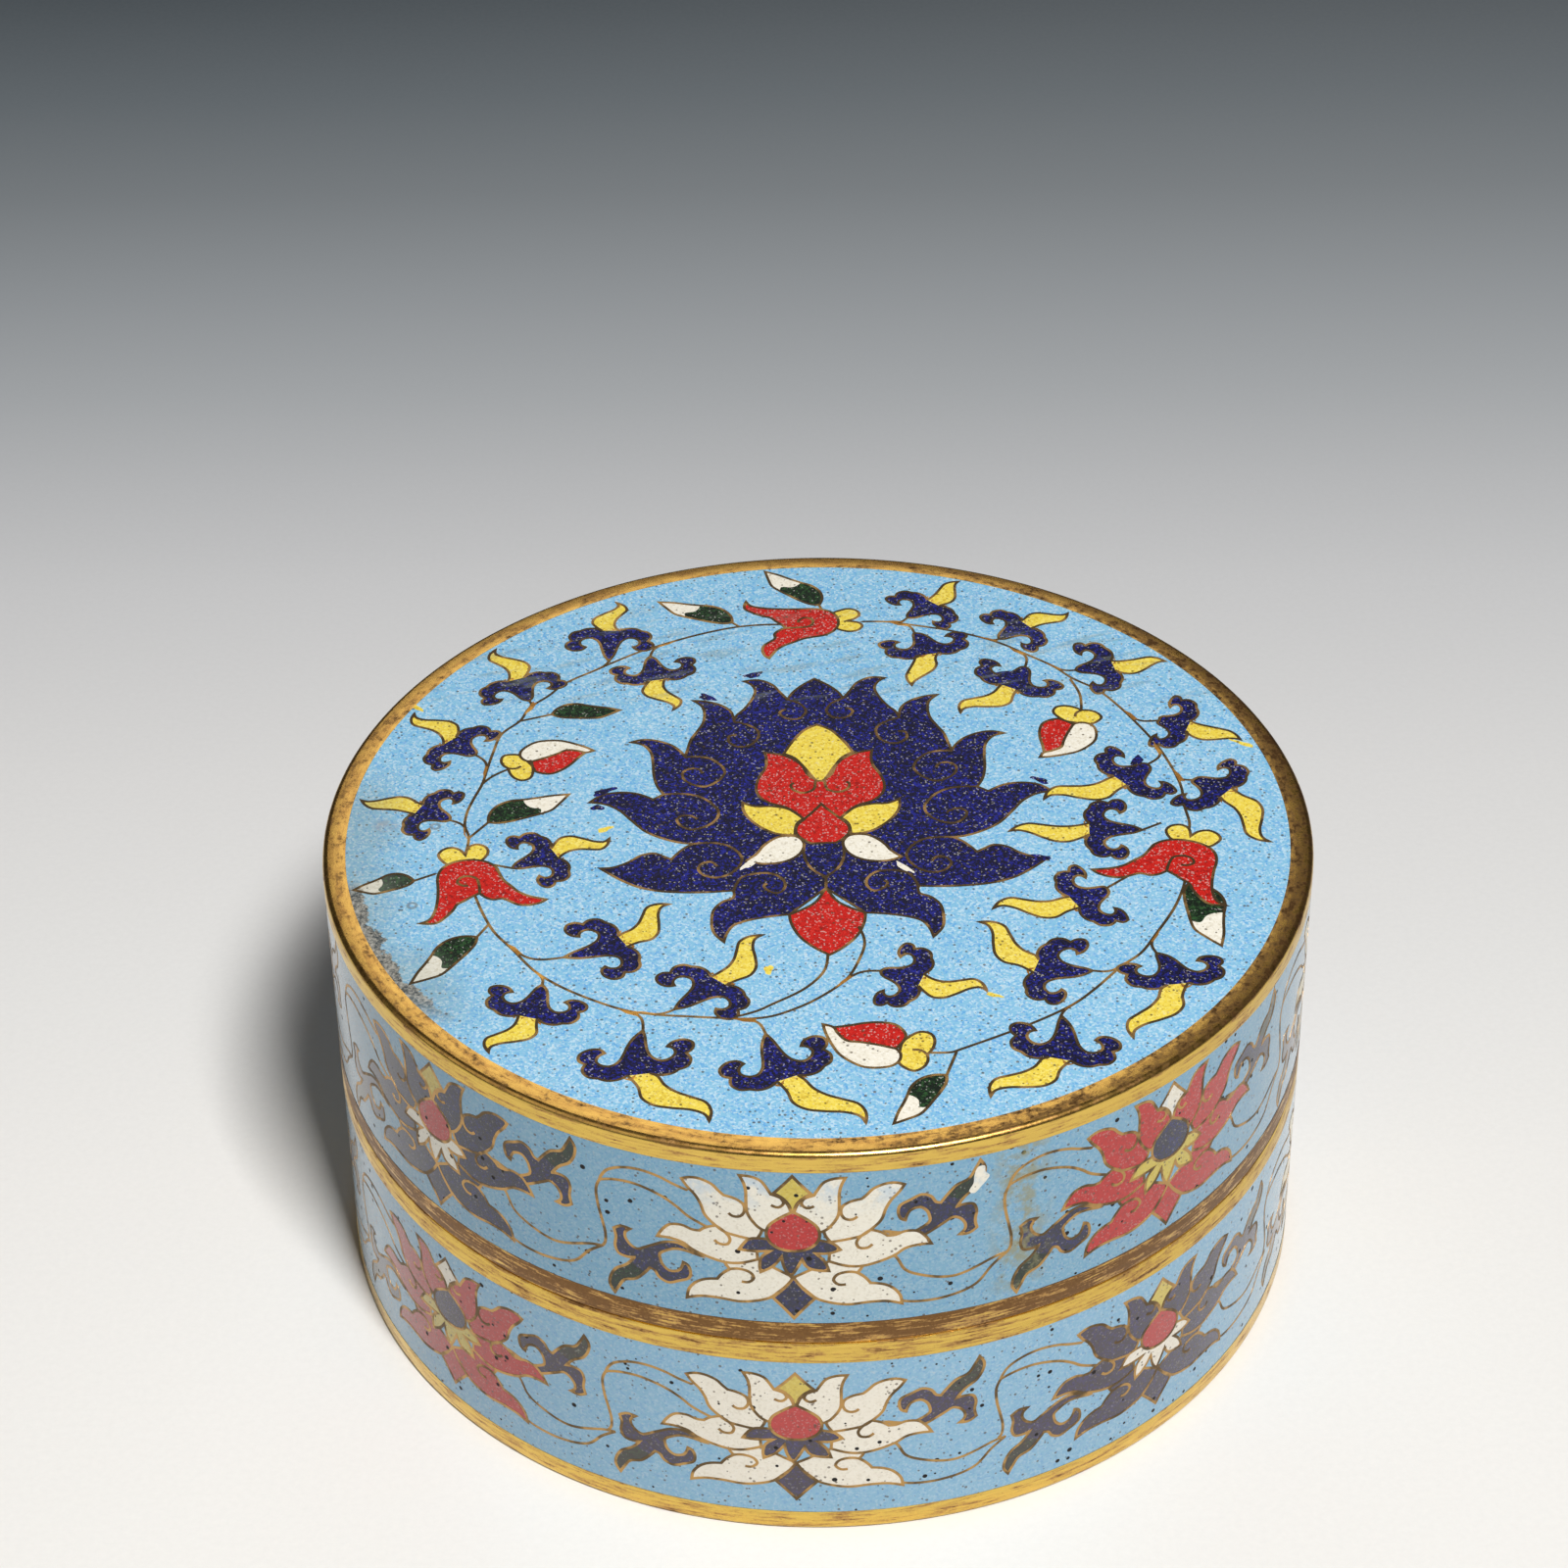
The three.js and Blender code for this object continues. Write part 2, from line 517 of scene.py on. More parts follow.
def beside(points, line, reach):
    """Which points lie within reach of a line."""
    hit = np.zeros(len(points), bool)
    low, high = line.min(axis=0) - reach, line.max(axis=0) + reach
    near_it = np.flatnonzero(((points >= low) & (points <= high)).all(axis=1))
    close = np.zeros(len(near_it), bool)
    spots = points[near_it]
    for start, end in zip(line, line[1:]):
        way = end - start
        part = ((spots - start) @ way) / max(way @ way, 1e-12)
        gap = spots - start - np.clip(part, 0, 1)[:, None] * way
        close |= (gap ** 2).sum(axis=1) < reach ** 2
    hit[near_it] = close
    return hit


def unit(way):
    return way / np.linalg.norm(way)


class Picture:
    """Cells and wires, in the order in which one covers the other."""

    def __init__(self, width):
        self.width = width
        self.layers = []

    def cell(self, colour, outline):
        """A cell of one colour, without its wires. The outline is a traced line."""
        self.layers.append(("cell", outline, colour))

    def wire(self, line, closed=False):
        """A strip of brass along a traced line."""
        if closed:
            line = np.vstack([line, line[:1]])
        self.layers.append(("wire", line, "wire"))

    def web(self, spot, *towards):
        """Gold solder that has run between wires at a fork, a short way towards each point."""
        arms = [np.array(point, float) - spot for point in towards]
        arms.sort(key=lambda arm: math.atan2(arm[1], arm[0]))
        star = []
        for arm, after in zip(arms, arms[1:] + arms[:1]):
            between = unit(arm) + unit(after)
            openness = max(1 - (between @ between) / 4, 0.04) ** 0.5
            depth = min(fork_throat / openness, fork_depth)
            star.append(spot + arm)
            star.append(spot + between / max(np.linalg.norm(between), 0.3) * depth)
        self.layers.append(("cell", np.array(star), "web"))

    def corner_webs(self, knots, at):
        """Solder in the narrow end of each sharp tip of an outline."""
        knots = [np.array(knot[:2], float) for knot in knots]
        for index in at:
            tip, left, right = knots[index], knots[index - 1], knots[(index + 1) % len(knots)]
            left_way, right_way = unit(left - tip), unit(right - tip)
            spread = np.linalg.norm(left_way - right_way)
            if spread < widest_tip:
                depth = min(tip_gap / max(spread, 0.2), tip_depth)
                hollow = unit(left_way + right_way) * depth * 0.55
                star = [tip, tip + left_way * depth, tip + hollow, tip + right_way * depth]
                self.layers.append(("cell", np.array(star), "web"))

    def triangulate(self, border, extra_lines=()):
        """Splits the panel into triangles along every edge of every cell and wire."""
        points, edges = [], []

        def draw(line, closed):
            start = len(points)
            points.extend(Vector(point) for point in line)
            edges.extend((start + step, start + step + 1) for step in range(len(line) - 1))
            if closed:
                edges.append((len(points) - 1, start))

        draw(border, True)
        for line in extra_lines:
            draw(line, False)
        for kind, line, _ in self.layers:
            if kind == "cell":
                draw(line, True)
                continue
            loop = bool(np.allclose(line[0], line[-1]))
            path = line[:-1] if loop else line
            left = flank(path, self.width / 2, loop)
            right = flank(path, -self.width / 2, loop)
            if loop:
                draw(left, True)
                draw(right, True)
            else:
                draw(np.vstack([left, right[::-1]]), True)
        made = delaunay_2d_cdt(points, edges, [], 0, merge_gap, False)
        corners = np.array([tuple(point) for point in made[0]])
        triangles = np.array([tuple(face) for face in made[2]])
        first, second, third = (corners[triangles[:, index]] for index in range(3))
        area = np.cross(second - first, third - first)
        triangles[area < 0] = triangles[area < 0][:, ::-1]
        triangles = triangles[np.abs(area) > least_area]
        return corners, triangles

    def paint(self, corners, triangles, ground, left_out=()):
        """The colour of each triangle: the last cell or wire that covers its middle."""
        middles = corners[triangles].mean(axis=1)
        colours = np.full(len(triangles), ground, object)
        wire_reach = self.width / 2 * 1.02
        for kind, line, colour in self.layers:
            if colour in left_out:
                continue
            if kind == "cell":
                colours[inside(middles, line)] = colour
            else:
                colours[beside(middles, line, wire_reach)] = colour
        return colours


def slab(name, corners, triangles, lift, kind, outside, smooth_normal=None):
    """A closed slab from flat triangles, from just under the outside down to the metal."""
    used, index = np.unique(triangles, return_inverse=True)
    faces = index.reshape(-1, 3)
    count = len(used)
    ground_off = wire_below if kind in ("wire", "web") else enamel_below
    top = lift(corners[used], outside - ground_off)
    under = lift(corners[used], outside - enamel_depth + enamel_gap)
    edges = np.vstack([faces[:, [0, 1]], faces[:, [1, 2]], faces[:, [2, 0]]])
    ordered = np.sort(edges, axis=1)
    where, times = np.unique(ordered, axis=0, return_inverse=True, return_counts=True)[1:]
    rim = edges[times[where.ravel()] == 1]
    walls = [(a + count, b + count, b, a) for a, b in rim.tolist()]
    polygons = faces.tolist() + (faces[:, ::-1] + count).tolist() + walls
    mesh = bpy.data.meshes.new(name)
    mesh.from_pydata((np.vstack([top, under]) * mm).tolist(), [], polygons)
    mesh.update()
    piece = bpy.data.objects.new(name, mesh)
    bpy.context.scene.collection.objects.link(piece)
    if smooth_normal is not None:
        flat = [tuple(polygon.normal) for polygon in mesh.polygons]
        normals = []
        for number, polygon in enumerate(mesh.polygons):
            for corner in polygon.vertices:
                on_face = number < len(faces)
                normals.append(smooth_normal(mesh.vertices[corner].co) if on_face else flat[number])
        mesh.shade_smooth()
        mesh.normals_split_custom_set(normals)
    return piece


def set_down(knots, at, turn, size=1.0, wide=1.0):
    """Knots of a motif, sized, turned in degrees and moved. A negative width mirrors it."""
    cosine, sine = math.cos(math.radians(turn)), math.sin(math.radians(turn))
    placed = []
    for knot in knots:
        x, y = knot[0] * size * wide, knot[1] * size
        placed.append((at[0] + x * cosine - y * sine, at[1] + x * sine + y * cosine, *knot[2:]))
    return placed


def flipped(knots, side=-1):
    """The knots, in the same order, with left and right changed over where side is -1."""
    return [(x * side, *rest) for x, *rest in knots]


def mirrored(knots):
    """The mirrored knots in turned order, so that an outline still runs the same way round."""
    return flipped(list(reversed(knots)))


def turn_towards(start, end):
    """The turn that brings straight up onto the way from one point to another."""
    return math.degrees(math.atan2(end[1] - start[1], end[0] - start[0])) - 90


def above_wall(z):
    """1 on the lid's flat top, and 0 on the walls."""
    return z.step(58.0, 58.5)


def enamel(name, colour, pale, deep, pale_share, painted_glint_share, pits, specks, lid_wall_shade, base_wall_shade, blue_haze):
    """Glass enamel: coloured grains, pale and deep ones, and open bubbles ground through."""
    glass = Finish(name, Metallic=0.0, IOR=1.5, Specular_IOR_Level=0.16, Coat_Roughness=0.14)
    place = glass.place()
    x, y, z = glass.split(place)
    on_wall = 1 - above_wall(z)
    on_top = 1 - on_wall
    on_lid = z.step(29, 31)
    clouds = glass.noise(place, 7, 3)
    wide_clouds = glass.noise(place, 12, 4, 0.6)
    ragged = glass.noise(place, 2.2, 5, 0.65)
    fine = glass.noise(place, 0.4, 4, 0.7)

    # Pale and deep grains, and painted glints: a few pale specks painted into the colour as sparkles of
    # light.
    grain_red, grain_green = glass.split(glass.grains(place, 3.8, "Color"))[:2]
    pale_grains = (grain_red * 0.8 + fine * 0.5 + clouds * 0.2).step(0.65, 1.15)
    deep_grains = (grain_green * 0.8 + fine * 0.4 - clouds * 0.2).step(0.55, 0.95)
    glints = glass.split(glass.grains(place, 5.5, "Color"))[0]
    painted_glint_mask = (glints - (1 - painted_glint_share)).step(0, 0.01)
    tone = glass.mix(pale_grains * (pale_share - on_wall * pale_share * 0.55), rgb(*colour), rgb(*pale))
    tone = glass.mix(deep_grains * (0.7 - on_wall * 0.3), tone, rgb(*deep))
    tone = glass.mix(painted_glint_mask * (0.42 - on_wall * 0.2), tone, (0.62, 0.6, 0.56, 1))

    # Painted shade: the walls are painted greyer and darker than the top, and the base's is a little
    # pink.
    painted_wall_shade = on_wall * (on_lid * (lid_wall_shade - base_wall_shade) + base_wall_shade)
    tone = glass.mix(painted_wall_shade, tone, (0.06, 0.062, 0.07, 1))
    tone = glass.mix(on_wall * (1 - on_lid) * 0.06, tone, (0.6, 0.42, 0.4, 1))

    # Small brown specks, and black bubbles that were ground open.
    speck_pick = glass.split(glass.grains(place, 1.6, "Color"))[1]
    speck_size = speck_pick.step(1 - 0.85 * specks, 1) * 0.33
    speck = (speck_size - glass.grains(place, 1.6, "Distance")).step(0, 0.06)
    pit_pick = glass.split(glass.grains(place, 0.75, "Color"))[0]
    pit_size = pit_pick.step(1 - 0.8 * pits, 1) * (on_wall * 0.17 + 0.1)
    pit = (pit_size - glass.grains(place, 0.75, "Distance")).step(0, 0.03)
    tone = glass.mix(speck * 0.75, tone, (0.07, 0.045, 0.025, 1))
    tone = glass.mix(pit, tone, (0.012, 0.01, 0.01, 1))

    # Grey film inside the rim on the left, and grey smears behind the lotus.
    reach = length(x, y)
    left_edge = (1 - x.step(-44, -34)) * y.step(-42, -30) * on_top
    film = left_edge * (reach * 0.06 + wide_clouds * 0.9).step(3.35, 3.85) * (1 - y.step(4, 16))
    smears = glass.noise(glass.join(x * 0.1, y * 0.45 - x * 0.14, 0), 1, 4, 0.6).step(0.52, 0.66)
    smears = smears * (y.step(24, 29) * (1 - y.step(40, 52)) * on_top)
    tone = glass.mix(film * 0.4 + smears * 0.35, tone, (0.2, 0.23, 0.19, 1))

    # A bluish haze high on the lid's wall, a pinkish smudge and two ring-shaped pits near the
    # top's left edge, and an olive stain on the lid's wall.
    haze = z.step(49, 54) * on_wall * ragged.step(0.42, 0.62) * blue_haze
    tone = glass.mix(haze, tone, (0.3, 0.46, 0.62, 1))
    smudge = (1 - length(x + 52.6, y - 1).step(0.4, 2)) * ragged.step(0.3, 0.6) * on_top
    tone = glass.mix(smudge * 0.5, tone, (0.34, 0.2, 0.15, 1))
    for ring_x, ring_y in ((-48.2, -14.8), (-46.5, 0.8)):
        ring = 1 - (length(x - ring_x, y - ring_y) - 0.5).math("ABSOLUTE").step(0.1, 0.3)
        tone = glass.mix(ring * 0.6 * on_top, tone, (0.13, 0.13, 0.12, 1))
    stain = (1 - (x - 22.5).math("ABSOLUTE").step(0.8, 4.5)) * (1 - y.step(-20, -10)) * on_wall
    stain = stain * z.step(33, 36) * ragged.step(0.42, 0.62)
    tone = glass.mix(stain * 0.75, tone, (0.24, 0.22, 0.1, 1))

    # The enamel lost inside the rim on the left, down to crumbs and dirt.
    loss = ((reach - 54.5) * 0.25 + ragged * 1.4).step(0.95, 1.02)
    loss = loss * left_edge * y.step(-38, -33) * (1 - y.step(-13, -9)) * reach.step(53.5, 54.2)
    crumbs = glass.noise(place, 0.5, 5, 0.75).step(0.36, 0.66)
    bottom = glass.mix(crumbs, (0.03, 0.024, 0.016, 1), (0.42, 0.39, 0.33, 1))
    tone = glass.mix(loss * 0.9, tone, bottom)

    roughness = fine * 0.12 + pit * 0.3 + speck * 0.1 + 0.3 - on_wall * 0.15 + loss * 0.35 + film * 0.1
    height = fine * 0.12 + grain_red * 0.08 - pit - speck * 0.3 + loss * (crumbs * 2.5 - 2)
    bump = glass.node("Bump", {}, {"Strength": 0.4, "Distance": 0.0001, "Height": height}, "Normal")
    glaze = on_wall * (1 - pit) * 0.7
    glass.feed(glass.shader, {
        "Base Color": tone, "Roughness": roughness, "Normal": bump, "Coat Weight": glaze,
    })
    return glass.material


def wire_metal(name, bright, dull):
    """Brass that is dull with age and brighter where it is rubbed."""
    brass = Finish(name, Metallic=1.0)
    place = brass.place()
    on_wall = 1 - above_wall(brass.split(place)[2])
    rubbed = (brass.noise(place, 3, 4) + on_wall * 0.06).step(0.45, 0.65)
    tone = brass.mix(rubbed, dull, bright)
    brass.feed(brass.shader, {"Base Color": tone, "Roughness": 0.5 - rubbed * 0.12})
    return brass.material


enamels = (
    # name, colour, pale grains and deep grains as on a screen, how many are pale, painted glints,
    # pits, specks, painted shade greying the lid's wall and the base's, bluish haze
    ("sky", (128, 184, 215), (206, 226, 236), (70, 148, 212), 0.6, 0.03, 0.35, 0.65, 0.34, 0.18, 0),
    ("cobalt", (13, 11, 42), (36, 44, 168), (6, 6, 16), 0.6, 0.05, 0.5, 0.4, 0.3, 0.3, 0),
    ("red", (186, 18, 10), (206, 44, 32), (112, 8, 6), 0.6, 0.1, 0.5, 0.7, 0.2, 0.2, 0),
    ("yellow", (226, 202, 72), (240, 228, 130), (186, 152, 44), 0.6, 0.02, 0.3, 0.9, 0.34, 0.3, 0),
    ("white", (230, 225, 210), (242, 240, 232), (200, 192, 172), 0.5, 0.01, 0.25, 0.7, 0.1, 0.06, 0.55),
    ("green", (8, 24, 12), (50, 96, 48), (3, 8, 5), 0.6, 0.04, 0.3, 0.4, 0.1, 0.1, 0),
)
# For each kind of part in a picture, a name and its material.
finishes = {
    kind: (kind + "_enamel", enamel(kind + "_enamel", *recipe)) for kind, *recipe in enamels
}
finishes["wire"] = ("wire", wire_metal("wire_brass", (0.5, 0.3, 0.11, 1), (0.15, 0.1, 0.05, 1)))
finishes["web"] = ("gilt", wire_metal("solder_gold", (0.95, 0.5, 0.11, 1), (0.62, 0.3, 0.07, 1)))

# Half of the lotus, from the top down its left side, and the curls inside its petals.
lotus_half = [
    (0, 28.1, C), (-1.8, 26.5), (-3.0, 24.9), (-3.5, 23.6, C), (-4.5, 25.4), (-5.4, 27.0), (-7.1, 28.1),
    (-9.0, 27.9, C), (-8.0, 27.0), (-7.6, 25.7), (-8.0, 24.0), (-9.0, 21.9), (-10.1, 20.3),
    (-10.4, 19.1, C), (-10.8, 21.4), (-12.2, 22.9), (-14.1, 23.7), (-15.5, 23.9, C), (-14.4, 22.6),
    (-14.1, 21.1), (-14.3, 19.0), (-15.0, 17.3), (-15.8, 15.6), (-16.3, 13.3), (-16.6, 11.8, C),
    (-17.1, 12.9), (-18.2, 14.3), (-20.1, 15.4), (-21.8, 15.7), (-23.4, 15.2, C), (-21.9, 14.6),
    (-20.9, 13.0), (-20.6, 10.7), (-20.5, 8.2), (-20.1, 5.9), (-19.3, 4.1, C), (-20.6, 3.1, C),
    (-21.7, 3.9), (-23.0, 4.5), (-24.9, 4.7), (-26.9, 4.2), (-28.4, 2.8, C), (-26.4, 2.3), (-24.7, 1.0),
    (-23.3, -1.0), (-21.4, -3.5), (-19.4, -4.9), (-17.4, -5.8), (-15.7, -6.1, C), (-16.7, -6.8),
    (-17.7, -8.0), (-18.4, -9.1, C), (-19.3, -8.5), (-20.5, -7.8), (-22.1, -8.2), (-23.5, -9.4),
    (-25.4, -10.4), (-27.0, -10.5, C), (-26.2, -11.3), (-24.6, -12.8), (-22.5, -14.3), (-20.1, -15.2),
    (-17.3, -15.6), (-14.3, -15.7), (-11.0, -15.5, C), (-11.1, -16.9), (-12.3, -17.6), (-13.4, -19.1),
    (-13.7, -21.1), (-13.5, -23.4), (-12.3, -25.3, C), (-11.9, -23.6), (-11.1, -22.2), (-9.6, -21.4),
    (-7.4, -20.8), (-4.5, -20.4, C),
]
lotus_drop = [(-4.5, -20.4, C), (-4.3, -22.2), (-3.3, -24.8), (-1.6, -26.9), (0, -28.2, C)]
drop_shoulder = [(0, -15.5, C), (-0.2, -15.9), (-1.3, -18.1), (-2.8, -19.4), (-4.5, -20.4, C)]
lotus_curls = (
    [(-3.5, 23.6), (-1.9, 22.5), (-1.3, 20.9), (-2.3, 19.4), (-3.9, 19.6), (-4.6, 20.8), (-3.8, 21.6)],
    [(-10.4, 19.1), (-8.5, 18.2), (-7.4, 16.9), (-7.6, 15.1), (-8.6, 13.9), (-10.0, 13.7),
     (-11.1, 14.7), (-11.0, 16.0), (-10.1, 16.2)],
    [(-16.6, 11.7), (-15.2, 11.8), (-13.5, 11.3), (-12.2, 9.9), (-11.7, 8.4), (-12.5, 6.7), (-14.2, 5.5),
     (-15.7, 6.0), (-16.8, 7.2), (-16.9, 8.5), (-16.0, 9.3), (-14.9, 9.1), (-14.5, 8.3)],
    [(-19.3, 4.1), (-16.9, 4.1), (-15.0, 3.5), (-13.5, 2.1), (-12.6, 0.3), (-12.9, -1.3), (-14.1, -2.6),
     (-16.0, -3.2), (-17.2, -2.4), (-17.7, -1.2), (-17.1, -0.4), (-16.1, -0.4), (-15.2, -1.1)],
    [(-15.7, -6.1), (-14.0, -6.0), (-12.0, -6.4), (-10.5, -7.8), (-9.9, -9.4), (-10.4, -11.0),
     (-11.6, -12.4), (-13.2, -12.9), (-14.6, -12.3), (-15.2, -11.1), (-14.7, -10.1), (-13.7, -9.8),
     (-12.9, -10.7)],
    [(-11.0, -15.5), (-10.7, -14.4), (-10.0, -13.0), (-8.2, -12.3), (-6.2, -12.5), (-5.0, -13.8),
     (-4.9, -15.2), (-5.7, -16.2), (-6.9, -15.7), (-7.4, -14.7), (-7.0, -14.3)],
)
top_petal = [
    (0, 18.0, C), (-1.6, 16.9), (-3.0, 14.8), (-4.3, 12.0, C), (-3.0, 11.0), (-1.9, 9.1), (-0.3, 6.1),
]
heart_half = [
    (-0.3, 6.1, C), (-1.5, 7.5), (-2.1, 9.3), (-3.2, 10.8), (-4.8, 11.8), (-6.7, 12.3, C), (-6.5, 10.7),
    (-6.7, 9.0), (-7.5, 7.1), (-7.9, 5.0), (-7.6, 3.3), (-6.5, 1.9), (-4.2, 0.7), (-2.2, -1.7, C),
]
heart_curl = [(-0.6, 5.9), (-0.9, 4.3), (-2.2, 3.7), (-3.3, 4.3), (-3.6, 5.4), (-3.2, 5.8)]
inner_leaf = [
    (-9.6, 2.0, C), (-8.2, 1.2), (-6.2, 1.1), (-4.2, 0.5), (-2.9, -0.8), (-2.3, -1.6, C), (-3.1, -2.6),
    (-3.4, -4.9, C), (-5.6, -4.5), (-7.3, -3.3), (-8.7, -1.6), (-9.5, 0.2),
]
low_leaf = [
    (-9.3, -9.7, C), (-8.1, -8.4), (-7.4, -7.1), (-6.4, -5.9), (-5.2, -5.1), (-3.2, -5.2), (-2.4, -6.4),
    (-2.7, -8.2), (-3.9, -9.6), (-5.5, -10.3), (-7.5, -10.4),
]
heart_drop = [
    (0, 1.3, C), (-0.9, 0), (-2.1, -1.6), (-3.1, -3.0), (-3.2, -4.5), (-2.4, -5.8), (-1.5, -6.6, C),
]
shield = [(-2.3, -6.6), (-2.4, -9.0), (-1.7, -11.4), (0.1, -13.4)]
lotus_at, lotus_turn = (0.55, 3.34), 1.56

lid_picture = Picture(wire_width)


def both_sides(half):
    """A closed outline from its left half, which runs from the top to the bottom."""
    left, right = list(half), mirrored(half)
    # A knot on the middle line belongs to both halves, and is kept once.
    if near(half[-1][0], 0):
        left.pop()
    if near(half[0][0], 0):
        right.pop()
    return right + left


def sharp_knots(knots):
    return [index for index, knot in enumerate(knots) if len(knot) == 3]


def lay_cell(picture, colour, knots, wired=True, webbed=True):
    """A cell with its wire round it and solder in its sharp tips."""
    line = trace(knots, True)
    picture.cell(colour, line)
    if webbed:
        picture.corner_webs(knots, sharp_knots(knots))
    if wired:
        picture.wire(line, True)


def lay_wire(picture, knots):
    picture.wire(trace(knots))


def in_lotus(knots):
    return set_down(knots, lotus_at, lotus_turn)


lay_cell(lid_picture, "cobalt", in_lotus(both_sides(lotus_half + [(0, -15.5, C)])))
lay_cell(lid_picture, "red", in_lotus(both_sides(drop_shoulder + lotus_drop[1:])))
lay_wire(lid_picture, in_lotus([(0.1, -13.4), (0, -15.5)]))
for curl in lotus_curls:
    for knots in (curl, mirrored(curl)):
        lay_wire(lid_picture, in_lotus(knots))
lay_cell(lid_picture, "yellow", in_lotus(both_sides(top_petal)))
lay_cell(lid_picture, "red", in_lotus(both_sides(heart_half)))
for knots in (heart_curl, mirrored(heart_curl)):
    lay_wire(lid_picture, in_lotus(knots))
for colour, leaf in (("yellow", inner_leaf), ("white", low_leaf)):
    for knots in (leaf, mirrored(leaf)):
        lay_cell(lid_picture, colour, in_lotus(knots))
lay_cell(lid_picture, "red", in_lotus(both_sides(heart_drop)))
for knots in (shield, mirrored(shield)):
    lay_wire(lid_picture, in_lotus(knots))

# The vine: two stems that leave the lotus, join, and run right round it.
vines = (
    [(1.1, -24.8), (0.6, -27.9), (-1.6, -31.0), (-5.5, -33.9), (-7.1, -35.0), (-10.1, -36.2)],
    [(4.75, -19.6), (5.3, -21.4), (5.4, -23.1), (4.6, -26.2), (3.2, -29.4), (-0.2, -32.9),
     (-2.8, -34.7), (-5.5, -36.0), (-8.2, -36.4), (-10.1, -36.3), (-14.8, -35.9), (-18.8, -35.5),
     (-22.2, -34.7), (-26.7, -32.4), (-30.1, -30.1), (-33.0, -27.4), (-35.9, -23.2), (-38.1, -20.1),
     (-39.6, -16.7), (-40.8, -13.1)],
    [(-42.5, -4.9), (-42.3, -1.4), (-42.9, 0.7), (-42.8, 3.6), (-42.2, 6.2), (-41.3, 9.4), (-40.9, 12.3),
     (-40.3, 16.2), (-39.5, 19.9), (-37.3, 22.8), (-36.3, 25.5), (-33.9, 28.3), (-32.1, 30.8),
     (-28.1, 33.9), (-25.2, 36.1), (-22.6, 37.9), (-19.1, 39.8), (-14.8, 41.8), (-10.3, 43.3),
     (-6.6, 43.8), (-4.1, 43.8)],
    [(6.2, 44.3), (9.4, 44.2), (11.5, 43.7), (17.3, 42.1), (21.0, 40.6), (23.9, 39.0), (27.3, 36.3),
     (30.5, 33.6), (32.6, 31.1), (35.8, 28.3), (38.4, 24.4), (39.4, 22.6), (41.5, 18.4), (42.6, 15.8),
     (44.2, 10.5), (44.8, 7.1), (44.8, 4.1), (45.2, -0.1), (44.8, -2.0)],
    [(43.9, -10.7), (43.4, -12.9), (42.1, -16.6), (39.7, -21.3), (37.6, -25.0), (35.2, -27.4),
     (31.8, -31.6), (29.2, -34.3), (23.9, -37.9), (15.9, -42.2), (15.1, -42.6), (12.7, -42.7),
     (10.9, -42.5)],
    [(-41.3, 9.4), (-40.1, 11.0), (-38.0, 12.6), (-36.8, 13.1)],
    [(32.4, 30.8), (33.4, 27.6), (33.5, 25.5), (33.3, 22.6)],
)
for vine in vines:
    lay_wire(lid_picture, vine)

# A scroll leaf: two lobes that hook down beside a stalk, and a yellow flame above them.
leaf_half = [
    (1.2, 1.3, C), (2.3, 1.8), (3.5, 1.75), (4.4, 1.2, C), (5.4, 0.8), (5.9, -0.3), (5.5, -1.4, C),
    (6.2, -2.1), (6.2, -3.2), (5.2, -4.0), (4.0, -3.8), (3.4, -3.0, C), (4.1, -2.5), (4.3, -1.6),
    (3.7, -0.8), (2.7, -0.6), (1.8, -1.3), (1.3, -2.5), (1.0, -3.9), (0.65, -5.4), (0, -7.0, C),
]
flame_form = (
    # part of the way up, how far its middle swings, half its width
    (0.22, 0.7, 1.35), (0.36, 1.3, 1.6), (0.5, 1.1, 1.6), (0.64, 0.2, 1.35), (0.78, -0.8, 0.95),
    (0.9, -0.85, 0.45),
)
